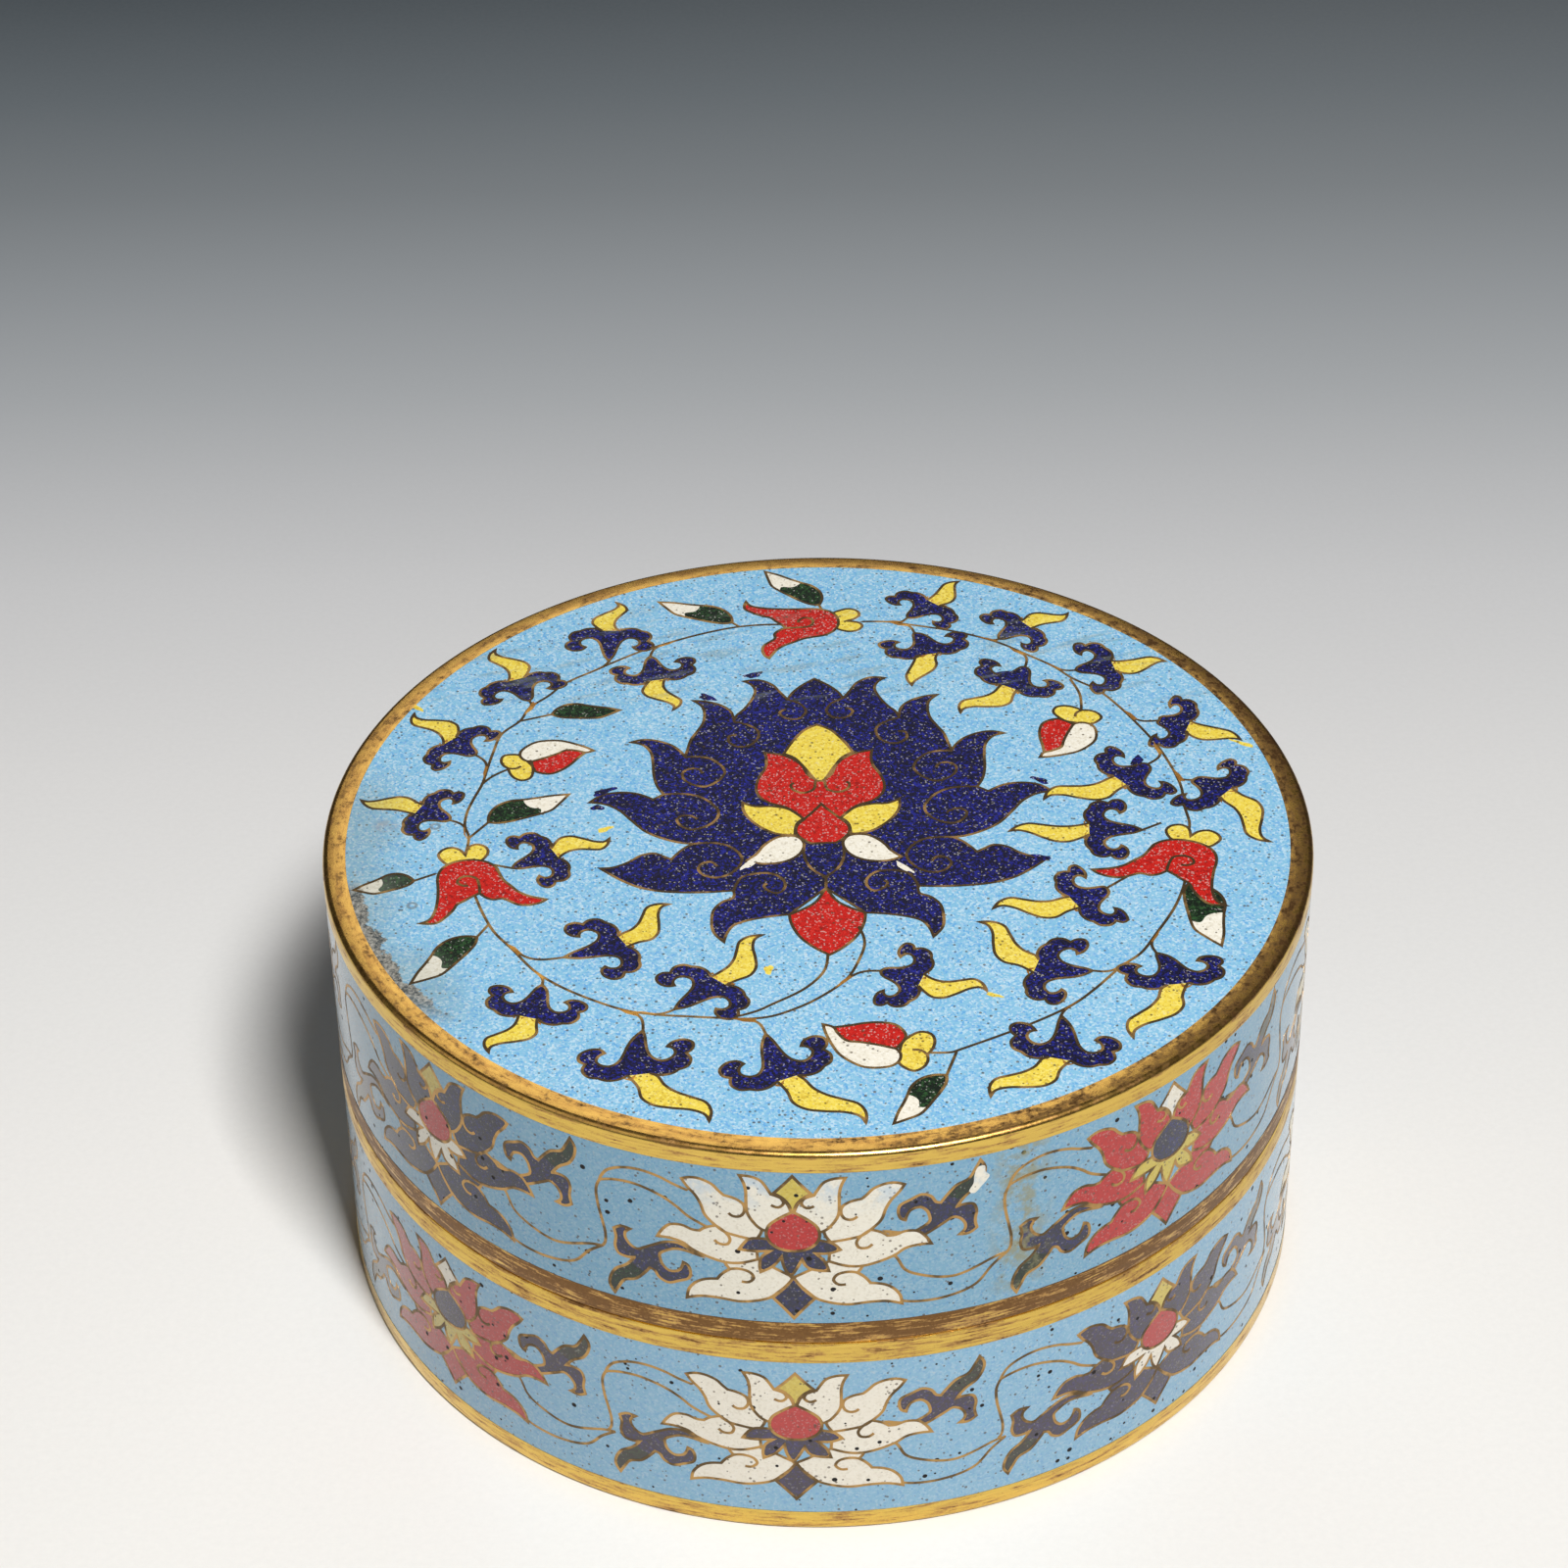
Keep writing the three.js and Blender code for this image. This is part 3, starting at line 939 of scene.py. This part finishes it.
scroll_leaves = (
    # body, flame tip, stalk end, where its wire meets the vine, bend of the flame, size
    ((-26.6, 41.6), (-26.1, 49.3), (-26.6, 35.8), (-28.3, 33.9), -1, 0.9),
    ((-37.9, 30.8), (-41.3, 38.7), (-36.4, 27.1), (-36.3, 25.5), 1, 0.9),
    ((-45.1, 17.8), (-50.8, 24.6), (-42.5, 15.5), (-41.7, 11.8), 1, 0.88),
    ((-47.8, 3.8), (-56.0, 6.3), (-44.8, 2.0), (-42.8, -0.9), 0.6, 0.85),
    ((-20.5, 32.6), (-18.1, 24.8), (-21.3, 36.8), (-19.1, 39.8), 1, 0.88),
    ((-32.7, -5.4), (-25.2, -1.9), (-36.7, -7.7), (-39.3, -6.9), -1, 0.9),
    ((-24.0, -22.6), (-17.6, -15.0), (-29.8, -24.9), (-36.1, -23.4), 1, 0.95),
    ((-33.0, -34.6), (-37.5, -42.0), (-32.0, -29.9), (-32.8, -27.7), -1, 0.95),
    ((-20.6, -44.7), (-12.3, -54.2), (-20.1, -38.3), (-21.9, -34.9), 1, 1.05),
    ((-12.4, -30.4), (-6.5, -21.0), (-16.6, -34.6), (-20.3, -35.0), 1, 0.95),
    ((-4.2, -45.7), (5.1, -54.7), (-6.1, -39.1), (-8.6, -36.9), 1, 1.05),
    ((10.7, -29.2), (19.4, -31.7), (7.2, -27.9), (2.9, -29.9), 1, 0.95),
    ((14.7, 47.7), (18.9, 53.5), (12.0, 45.1), (9.9, 44.1), 0.5, 0.85),
    ((14.4, 37.9), (12.2, 29.8), (12.8, 41.6), (10.8, 43.4), -0.4, 0.92),
    ((26.5, 42.6), (32.9, 45.8), (23.7, 40.0), (22.0, 40.0), -0.6, 0.85),
    ((25.2, 30.2), (18.2, 23.6), (26.8, 33.7), (25.6, 37.3), -1, 0.95),
    ((36.9, 33.6), (44.8, 34.6), (33.2, 32.8), (30.2, 33.7), 0.5, 0.92),
    ((45.5, 20.8), (52.9, 17.3), (43.1, 21.6), (39.4, 22.9), 0.4, 0.92),
    ((38.4, 9.7), (27.8, 5.2), (41.0, 12.3), (41.5, 15.5), -1, 0.98),
    ((49.2, 7.1), (54.7, -3.8), (46.3, 8.9), (44.6, 9.8), -1, 0.98),
    ((34.2, -0.9), (23.3, -1.2), (39.4, -1.2), (41.8, 0.2), -0.7, 0.95),
    ((31.5, -14.7), (20.7, -16.4), (34.4, -12.6), (38.6, -9.0), -1, 0.98),
    ((26.5, -27.7), (18.9, -18.9), (31.8, -28.2), (35.2, -26.9), -1, 1.0),
    ((41.3, -29.5), (35.7, -40.4), (39.4, -25.0), (39.7, -21.6), -1, 0.98),
    ((27.5, -42.7), (19.1, -50.4), (27.7, -36.3), (29.2, -34.4), -1, 1.02),
)


def lay_scroll_leaf(picture, body, tip, stalk, bend, size):
    """A leaf at its place. Its stalk is drawn out to its end, and its flame to its tip."""
    flame_turn = turn_towards(body, tip)
    lean = (turn_towards(stalk, body) - flame_turn + 180) % 360 - 180
    body_turn = flame_turn + 0.7 * lean

    # The two lobes, with the stalk pulled to where it ends.
    away = math.radians(-body_turn)
    reach = Vector(stalk) - Vector(body)
    end_x = (reach.x * math.cos(away) - reach.y * math.sin(away)) / size
    end_y = (reach.x * math.sin(away) + reach.y * math.cos(away)) / size
    leaf_foot = leaf_half[-1][1]
    drawn = []
    for x, y, *rest in flipped(leaf_half[:-1]) + list(reversed(leaf_half)):
        pull = (min(y, 0) / leaf_foot) ** 2
        drawn.append((x + end_x * pull, y + (end_y - leaf_foot) * pull, *rest))
    knots = set_down(drawn, body, body_turn, size)

    # The flame grows from between the lobes.
    flame_length = (Vector(tip) - Vector(body)).length
    left_side, right_side = [], []
    for part, middle, half in flame_form:
        left_side.append((middle * bend - half, part * flame_length / size))
        right_side.append((middle * bend + half, part * flame_length / size))
    flame = set_down(left_side, body, flame_turn, size) + [(*tip, C)]
    flame += set_down(reversed(right_side), body, flame_turn, size)
    flame = [knots[0]] + flame + [knots[-1]]

    outline = trace(knots)
    flare = trace(flame)
    picture.cell("cobalt", outline)
    picture.cell("yellow", flare)
    picture.corner_webs(knots, sharp_knots(knots)[1:-1])
    picture.corner_webs(flame, [len(left_side) + 1])

    # Solder where a lobe's wire and the flame's meet, on each side.
    root_left, root_right = np.array(knots[0][:2]), np.array(knots[-1][:2])
    inwards = (root_left + root_right) / 2
    for root, lobe, flare_knot in ((root_left, knots[1], flame[1]), (root_right, knots[-2], flame[-2])):
        along_lobe = np.array(lobe[:2]) - root
        along_flare = np.array(flare_knot[:2]) - root
        picture.web(
            root, root + (inwards - root) * 0.75, root + along_lobe * 0.6, root + along_flare * 0.5)
    picture.wire(outline)
    picture.wire(flare)


def lay_stem(picture, stalk, joint):
    """A leaf's wire, which runs off along the vine, with solder where the two meet."""
    farthest_vine, vine_steps, longest_web = 1.2, 5, 1.6
    spot, end = np.array(joint), np.array(stalk)
    vine = min(
        (trace(knots) for knots in vines), key=lambda line: np.linalg.norm(line - spot, axis=1).min())
    index = int(np.linalg.norm(vine - spot, axis=1).argmin())
    if np.linalg.norm(vine[index] - spot) > farthest_vine:
        lay_wire(picture, [stalk, joint])
        return
    spot = vine[index]
    before = vine[max(index - vine_steps, 0)]
    after = vine[min(index + vine_steps, len(vine) - 1)]
    along = unit(after - before)
    way = end - spot
    bend = spot + along * (along @ way) * 0.75
    middle = 0.25 * spot + 0.5 * bend + 0.25 * end
    lay_wire(picture, [stalk, tuple(middle), tuple(spot)])
    reach = min(longest_web, np.linalg.norm(way))
    picture.web(spot, before, after, spot + unit(middle - spot) * reach)


for body, tip, stalk, joint, bend, size in scroll_leaves:
    lay_scroll_leaf(lid_picture, body, tip, stalk, bend, size)
    lay_stem(lid_picture, stalk, joint)

# Small green leaves, tipped with white, that sprout from the vine.
green_leaf = [
    (0, 0, C), (1.5, 0.9), (2.5, 2.4), (2.6, 4.2), (1.9, 5.9), (1.4, 7.3), (0.9, 8.9), (0, 10.85, C),
    (-1.0, 9.2), (-1.8, 7.6), (-1.8, 6.2), (-1.6, 4.6), (-1.3, 2.6), (-0.8, 1.0),
]
leaf_length = 10.85
# The tip's outline follows the leaf's round its point.
white_tip = [(2.0, 5.7, C), *green_leaf[5:10], (-1.8, 6.0, C), (-0.9, 6.6), (0.1, 5.7), (1.2, 5.5)]
green_leaves = (
    # base, tip, where its stem leaves the vine, width (negative is mirrored), white tip or not
    ((-33.4, 24.1), (-24.8, 24.9), (-37.6, 22.6), -0.95, False),
    ((-40.1, 1.5), (-30.5, 7.1), (-42.3, -1.7), -0.95, True),
    ((-48.3, -10.0), (-55.4, -11.7), (-45.9, -8.7), 1.1, True),
    ((-40.1, -20.9), (-47.3, -29.5), (-38.9, -18.6), 0.85, True),
    ((0.5, 48.2), (-6.6, 56.3), (1.2, 46.2), 0.9, True),
    ((-10.8, 44.3), (-20.5, 49.3), (-9.9, 43.4), 0.85, True),
    ((44.2, -11.8), (47.1, -23.8), (43.9, -10.6), -1, True),
    ((14.3, -46.6), (8.2, -54.8), (15.5, -42.7), 0.85, True),
)


def reach_out(knots, length_drawn, base, tip, side=1):
    """A motif drawn straight up, sized and turned to reach from one point to another."""
    size = (Vector(tip) - Vector(base)).length / length_drawn
    return set_down(knots, base, turn_towards(base, tip), size, side)


for base, tip, stem, side, tipped in green_leaves:
    lay_cell(lid_picture, "green", reach_out(green_leaf, leaf_length, base, tip, side))
    if tipped:
        # The tip lies over the leaf's green and under its wire.
        leaf_wire = lid_picture.layers.pop()
        lid_picture.cell("white", trace(reach_out(white_tip, leaf_length, base, tip, side), True))
        lid_picture.layers.append(leaf_wire)
    lay_wire(lid_picture, [stem, base])

# Buds, half white and half red, in a yellow calyx.
bud_white = [
    (-0.4, 0.2, C), (-0.9, -0.5), (-1.9, -0.8), (-2.8, -0.5), (-3.6, 0.5), (-4.1, 1.9), (-3.9, 3.4),
    (-3.3, 4.9), (-2.2, 6.2), (-0.9, 7.4), (0.1, 8.1, C), (0.1, 7.0), (-0.5, 6.3), (-1.2, 5.0),
    (-0.9, 3.8), (-0.6, 2.2),
]
bud_red = [
    (-0.4, 0.2, C), (-0.6, 2.2), (-0.9, 3.8), (-1.2, 5.0), (-0.5, 6.3), (0.1, 7.0, C), (0.9, 5.8),
    (1.9, 4.5), (2.6, 3.2), (2.9, 1.8), (2.5, 0.8), (1.8, 0.1), (1.0, 0),
]
bud_calyx = [
    (-2.1, -0.8), (-2.6, -1.6), (-2.7, -2.7), (-1.8, -3.3), (-0.8, -3.3), (0, -2.9, C), (1.2, -3.0),
    (2.3, -2.7), (3.0, -2.0), (2.9, -1.0), (2.1, -0.4), (0.7, 0), (-0.3, -0.2),
]
calyx_fold = [(0, -2.9), (0.35, -2.1), (0.1, -1.3)]
bud_length = 8.1
buds = (((-35.5, 13.6), (-27.8, 16.3)), ((32.0, 21.3), (27.8, 13.9)), ((9.1, -41.6), (0.4, -37.6)))
for base, tip in buds:
    for colour, knots in (("yellow", bud_calyx), ("red", bud_red), ("white", bud_white)):
        lay_cell(lid_picture, colour, reach_out(knots, bud_length, base, tip))
    lay_wire(lid_picture, reach_out(calyx_fold, bud_length, base, tip))

# Red blossoms seen from the side, each in a yellow calyx, with one curled petal.
blossom_red = [
    (-0.8, 6.7, C), (-1.5, 7.7), (-2.3, 8.2), (-3.4, 8.2), (-4.2, 8.9), (-5.1, 9.7), (-6.3, 10.0),
    (-7.7, 9.8), (-8.5, 9.3, C), (-7.7, 8.9), (-6.6, 8.3), (-5.4, 7.2), (-4.7, 6.0), (-3.9, 4.6),
    (-3.5, 2.9), (-3.3, 2.0), (-2.4, 0.8), (-1.1, 0.1), (0.2, -0.1), (1.7, 0.1), (2.9, 0.8),
    (3.6, 1.9), (3.9, 3.2), (4.0, 4.9), (4.3, 7.2), (4.8, 9.2), (5.6, 10.7), (6.8, 11.2, C),
    (4.9, 11.5), (3.6, 10.5), (2.6, 9.3), (2.1, 8.4), (1.1, 7.8), (0.2, 7.2),
]
blossom_calyx = [
    (0.1, -1.0, C), (0.7, -2.3), (1.7, -2.9), (2.7, -2.6), (3.3, -1.7), (3.0, -0.5), (2.3, 0.4),
    (0, 0.1), (-1.6, 0.3), (-2.3, -0.4), (-2.7, -1.4), (-2.4, -2.4), (-1.4, -3.0), (-0.5, -2.6),
]
blossom_curl = [
    (-0.8, 6.7), (-0.9, 5.1), (-0.7, 3.7), (0.3, 3.1), (1.2, 3.3), (1.6, 4.1), (1.1, 4.8), (0.4, 5.0),
]
blossom_length = 10.25
blossoms = (
    # base, opening, width (negative is mirrored)
    ((-42.2, -6.1), (-40.5, -16.2), 1),
    ((2.9, 44.3), (-7.6, 43.4), 0.85),
    ((44.7, -3.5), (41.5, -12.9), -1.15),
)
for blossom in blossoms:
    lay_cell(lid_picture, "yellow", reach_out(blossom_calyx, blossom_length, *blossom))
    lay_cell(lid_picture, "red", reach_out(blossom_red, blossom_length, *blossom))
    lay_wire(lid_picture, reach_out(blossom_curl, blossom_length, *blossom))

# Colour that ran over its wire in the firing: small ragged blots.
blots = (
    # place, reach, turn, how drawn out, colour
    ((-8.0, 32.4), 1.0, 20, 1.5, "cobalt"), ((-13.8, 27.5), 1.0, -30, 1.4, "cobalt"),
    ((-26.2, 7.6), 1.1, 30, 1.8, "cobalt"), ((-26.9, 4.3), 0.8, 0, 1.3, "cobalt"),
    ((27.5, 9.2), 0.9, -35, 1.7, "cobalt"), ((27.0, -6.5), 0.9, -25, 1.6, "cobalt"),
    ((39.7, 13.1), 1.0, 60, 1.3, "cobalt"), ((24.2, 32.3), 0.9, 10, 1.5, "cobalt"),
    ((-25.8, -0.1), 0.8, 30, 1.6, "yellow"), ((-50.8, 26.2), 0.9, 130, 2.2, "yellow"),
    ((-5.8, -27.5), 0.8, 80, 1.3, "yellow"), ((53.1, 16.5), 0.9, -30, 2.2, "yellow"),
    ((-8.2, -7.2), 1.0, 50, 1.7, "white"), ((10.4, -8.2), 0.9, -45, 1.9, "white"),
    ((20.2, -32.5), 0.7, -20, 1.8, "yellow"),
)
around = np.radians(np.arange(12) * 30)
for number, (spot, reach, turn, drawn_out, colour) in enumerate(blots):
    ragged = 0.85 + 0.16 * np.sin(around * 3 + number) + 0.1 * np.sin(around * 5 + 2 * number)
    along = reach * drawn_out * ragged * np.cos(around)
    across = reach / drawn_out * ragged * np.sin(around)
    lid_picture.cell(colour, trace(set_down(list(zip(along, across)), spot, turn), True))

disc_clearance = 0.01
circle = np.radians(np.arange(round_steps) * 360 / round_steps)
disc_border = np.column_stack([np.cos(circle), np.sin(circle)]) * (disc_radius - disc_clearance)
disc_corners, disc_triangles = lid_picture.triangulate(disc_border)
disc_colours = lid_picture.paint(disc_corners, disc_triangles, "sky")


def laid_flat(points, height):
    """Points of the drawing, at one height."""
    return np.column_stack([points, np.full(len(points), height)])


for kind, (slot_name, material) in finishes.items():
    chosen = disc_triangles[disc_colours == kind]
    if len(chosen) == 0:
        continue
    piece = slab("lid_top_" + kind, disc_corners, chosen, laid_flat, kind, lid_top)
    piece.data.materials.append(material)
    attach(piece, "root")
    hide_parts("lid_top_enamel")


# The walls of lid and base each carry a band of enamel: eight flowers on a winding vine,
# with a pair of scroll leaves between each two, drawn flat here and then wrapped round.
flowers_round = 8
flower_pitch = 2 * math.pi * radius / flowers_round
first_flower_turn = -3
side_petals = (
    [(0.2, 5.7, C), (0.6, 6.8), (1.3, 7.6), (2.4, 8.1, C), (2.8, 8.9), (3.5, 10.0), (4.5, 10.5),
     (5.9, 10.6, C), (5.4, 9.4), (5.2, 8.2), (5.2, 6.9), (5.1, 5.2), (4.5, 3.9), (3.5, 2.8),
     (0, 2.0, C)],
    [(5.4, 6.3, C), (6.3, 7.0), (7.7, 7.4, C), (8.3, 8.0), (9.0, 8.8), (10.4, 9.4), (11.5, 9.4),
     (12.5, 9.0, C), (11.9, 8.0), (11.0, 6.9), (10.4, 5.7), (9.9, 4.1), (8.7, 2.7, C), (7.7, 1.9),
     (6.3, 1.5), (4.2, 1.1, C), (3.5, 2.8), (4.5, 3.9)],
    [(8.7, 2.7, C), (9.9, 2.2), (10.6, 1.6, C), (11.5, 1.6), (12.6, 2.0), (14.0, 1.8), (14.9, 0.9),
     (15.6, -0.4, C), (14.0, -0.3), (12.6, -0.6), (11.5, -1.4), (9.7, -2.2), (7.7, -2.7), (6.1, -2.6),
     (4.0, -1.8, C), (4.2, 1.1, C), (6.3, 1.5), (7.7, 1.9)],
    [(0, -4.3, C), (0.8, -5.6), (1.7, -6.6), (2.6, -7.5), (4.0, -8.1), (6.1, -8.5), (8.6, -8.3),
     (10.6, -8.4), (12.3, -9.0, C), (12.0, -7.5), (11.1, -6.3), (10.1, -5.7), (8.7, -5.4, C),
     (8.1, -4.5), (7.2, -3.7, C), (7.7, -2.7), (6.1, -2.6), (4.0, -1.8, C)],
)
side_curls = (
    [(7.7, 7.4), (6.3, 7.0), (5.5, 6.3), (5.4, 5.3), (5.9, 4.5), (6.7, 4.4), (7.2, 4.8)],
    [(8.7, 2.7), (7.6, 1.8), (7.1, 0.9), (7.4, 0.1), (8.3, 0), (8.9, 0.5)],
    [(8.7, -5.4), (8.1, -4.5), (7.2, -3.7), (6.1, -3.5), (4.9, -3.9), (4.5, -4.7), (5.1, -5.4),
     (5.9, -5.4)],
    [(2.4, 8.1), (1.3, 7.6), (1.0, 6.8), (1.6, 6.2), (2.4, 6.5)],
)
top_diamond = [(0, 10.9, C), (-1.0, 9.6), (-2.1, 8.3, C), (-1.1, 7.6), (-0.4, 6.6), (-0.2, 5.7, C)]
low_diamond = [(0, -4.3, C), (-1.0, -5.9), (-2.4, -7.5, C), (-1.1, -9.1), (0, -10.6, C)]
onion = [(0, 5.6, C), (-1.5, 4.6), (-2.7, 3.4), (-3.0, 2.1), (-2.6, 0.9), (-1.5, 0), (0, -0.3)]
side_calyx = [
    (-3.0, 1.4, C), (-4.9, 1.2), (-5.6, 0.4), (-6.1, -0.5, C), (-4.6, -0.6), (-2.5, -0.4, C),
    (-3.5, -1.3), (-3.8, -2.5), (-3.7, -3.7, C), (-2.3, -2.7), (-1.3, -1.2, C), (-1.0, -2.9),
    (-0.3, -4.2, C), (0.3, -3.1), (1.0, -1.5, C), (1.7, -2.8), (4.0, -3.3, C), (3.5, -1.8),
    (2.5, -0.6, C), (4.0, -0.6), (5.3, -0.1, C), (4.4, 0.9), (2.9, 1.4, C), (0, 2.5),
]
side_vines = (
    [(-22.4, 6.0), (-22.3, 6.4), (-21.5, 7.7), (-20.0, 8.6), (-18.4, 9.0), (-16.8, 9.0), (-15.0, 8.6),
     (-13.6, 8.0), (-11.9, 7.4)],
    [(-22.4, 6.0), (-20.7, 6.6), (-18.6, 6.8), (-16.8, 6.5), (-14.7, 5.7), (-13.1, 4.6), (-12.0, 3.6),
     (-9.3, 2.1)],
    [(-22.4, 6.0), (-22.9, 4.6), (-22.8, 2.3), (-22.3, -0.2), (-22.0, -2.0), (-22.1, -3.4),
     (-22.5, -4.1)],
    [(9.3, -1.5), (11.3, -1.5), (12.6, -3.8), (14.1, -4.8), (18.3, -5.9), (23.3, -4.3), (24.6, -4.1)],
    [(11.4, -7.8), (12.4, -8.6), (16.6, -9.0), (20.8, -7.9), (22.9, -5.5), (24.6, -4.1)],
)
side_leaf = [
    (-5.1, -4.5, C), (-3.4, -4.5), (-1.8, -4.3), (-0.7, -3.4), (0.1, -2.0), (0.7, -0.8), (1.2, 0.1),
    (2.1, 0.2), (3.1, -0.3), (3.5, -1.0), (3.3, -1.9, C), (4.3, -1.4), (4.8, -0.4, C), (4.0, 0.5),
    (3.4, 1.8), (2.5, 2.5), (1.4, 2.1), (0.8, 1.5, C), (1.0, 3.3), (1.6, 4.9), (1.5, 6.5), (1.0, 7.6),
    (-0.1, 8.3, C), (0, 7.0), (0, 5.6), (-0.9, 4.3), (-1.2, 2.8), (-1.3, 1.5, C), (-1.9, 1.4),
    (-2.8, 1.9), (-4.0, 1.8), (-4.8, 0.7), (-5.5, -0.6), (-5.1, -1.6), (-4.4, -2.2), (-3.8, -2.2, C),
    (-4.0, -1.5), (-4.0, -0.7), (-3.2, 0.1), (-2.2, -0.1), (-1.5, -0.7), (-1.1, -1.3), (-1.4, -2.3),
    (-2.3, -3.5),
]
# The flame is the leaf's upper end, in green.
side_flame = [(0.9, 2.6, C), *side_leaf[18:26], (-1.2, 2.6, C)]
side_leaf_places = (((-17.0, -3.6), 149.25), ((17.0, 3.6), 329.25))
spill = [
    (19.9, 6.4), (20.4, 7.5), (20.5, 8.7), (20.9, 9.8), (21.7, 9.8), (21.8, 8.9), (22.3, 8.2),
    (21.9, 7.5), (21.3, 6.8), (20.5, 6.0),
]


def band_picture(middle, wide, high):
    """One flower with its vine and leaves, and its neighbours' ends that reach into its space."""
    picture = Picture(wire_width)

    def put(knots, offset):
        return [(x * wide + offset, y * high + middle, *rest) for x, y, *rest in knots]

    for offset in (-flower_pitch, 0, flower_pitch):
        for vine in side_vines:
            lay_wire(picture, put(vine, offset))
        for spot, turn in side_leaf_places:
            leaf = put(set_down(side_leaf, spot, turn), offset)
            flame = put(set_down(side_flame, spot, turn), offset)
            lay_cell(picture, "cobalt", leaf, wired=False)
            lay_cell(picture, "green", flame, wired=False, webbed=False)
            picture.wire(trace(leaf, True), True)
        for petal in reversed(side_petals):
            for side in (1, -1):
                lay_cell(picture, "petal", put(flipped(petal, side), offset))
        for curl in side_curls:
            for side in (1, -1):
                lay_wire(picture, put(flipped(curl, side), offset))
        lay_cell(picture, "top", put(both_sides(top_diamond), offset))
        lay_cell(picture, "bottom", put(both_sides(low_diamond), offset))
        lay_cell(picture, "calyx", put(side_calyx, offset))
        lay_cell(picture, "onion", put(both_sides(onion), offset))
    picture.cell("spill", trace(put(spill, 0), True))
    return picture


flower_colours = {
    "blue": {"petal": "cobalt", "onion": "red", "calyx": "white", "top": "yellow", "bottom": "cobalt"},
    "white": {"petal": "white", "onion": "red", "calyx": "cobalt", "top": "yellow", "bottom": "cobalt"},
    "red": {"petal": "red", "onion": "cobalt", "calyx": "yellow", "top": "white", "bottom": "red"},
    "yellow": {"petal": "yellow", "onion": "red", "calyx": "cobalt", "top": "white", "bottom": "cobalt"},
}
# What the drawing reaches past the solid's band, and past its own flower before it is cut.
band_overlap = 0.04
margin = 6
flower_facets = 18
bands = (
    # name, node, its lowest and highest point, the drawing's middle, how it is drawn out along
    # and across the wall, colourings
    ("lid_side", "lid_side_enamel", lid_band, 44.7, 1.0, 1.0, ("white", "red", "yellow", "blue")),
    ("base_side", "base_side_enamel", base_band, 15.0, 1.02, 0.95, ("white", "blue", "yellow", "red")),
)


def outward(point):
    return tuple(Vector((point.x, point.y, 0)).normalized())


def wrapped_round(points, reach):
    """Points of the drawing, wrapped round the wall at one radius."""
    angle = points[:, 0] / radius
    return np.column_stack([reach * np.sin(angle), -reach * np.cos(angle), points[:, 1]])


for band_name, node, (low, high), middle, wide, tall, order in bands:
    low, high = low - band_overlap, high + band_overlap
    picture = band_picture(middle, wide, tall)
    half = flower_pitch / 2
    left, right = -half - margin, half + margin
    border = np.array([(left, low), (right, low), (right, high), (left, high)])
    uprights = [
        np.array([(x, low - 1), (x, high + 1)]) for x in np.linspace(-half, half, flower_facets + 1)
    ]
    levels = [np.array([(left, z), (right, z)]) for z in (low, high)]
    corners, triangles = picture.triangulate(border, uprights + levels)
    middles = corners[triangles].mean(axis=1)
    kept = (np.abs(middles[:, 0]) < half) & (middles[:, 1] > low) & (middles[:, 1] < high)
    triangles = triangles[kept]
    plain_roles = picture.paint(corners, triangles, "sky", ("spill",))
    spilt_roles = picture.paint(corners, triangles, "sky")
    parts = {kind: [] for kind in finishes}
    all_corners = []
    for number in range(flowers_round):
        flower = flower_colours[order[number % len(order)]]
        centre = radius * math.radians(first_flower_turn + 360 / flowers_round * number)
        all_corners.append(corners + (centre, 0))
        roles = spilt_roles if node == "lid_side_enamel" and number == 0 else plain_roles
        for role in sorted(set(roles)):
            kind = "white" if role == "spill" else flower.get(role, role)
            parts[kind].append(triangles[roles == role] + number * len(corners))
    all_corners = np.vstack(all_corners)

    for kind, (slot_name, material) in finishes.items():
        if not parts[kind]:
            continue
        chosen = np.vstack(parts[kind])
        piece = slab(band_name + "_" + kind, all_corners, chosen, wrapped_round, kind, radius, outward)
        piece.data.materials.append(material)
        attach(piece, "root")
        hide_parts(node)
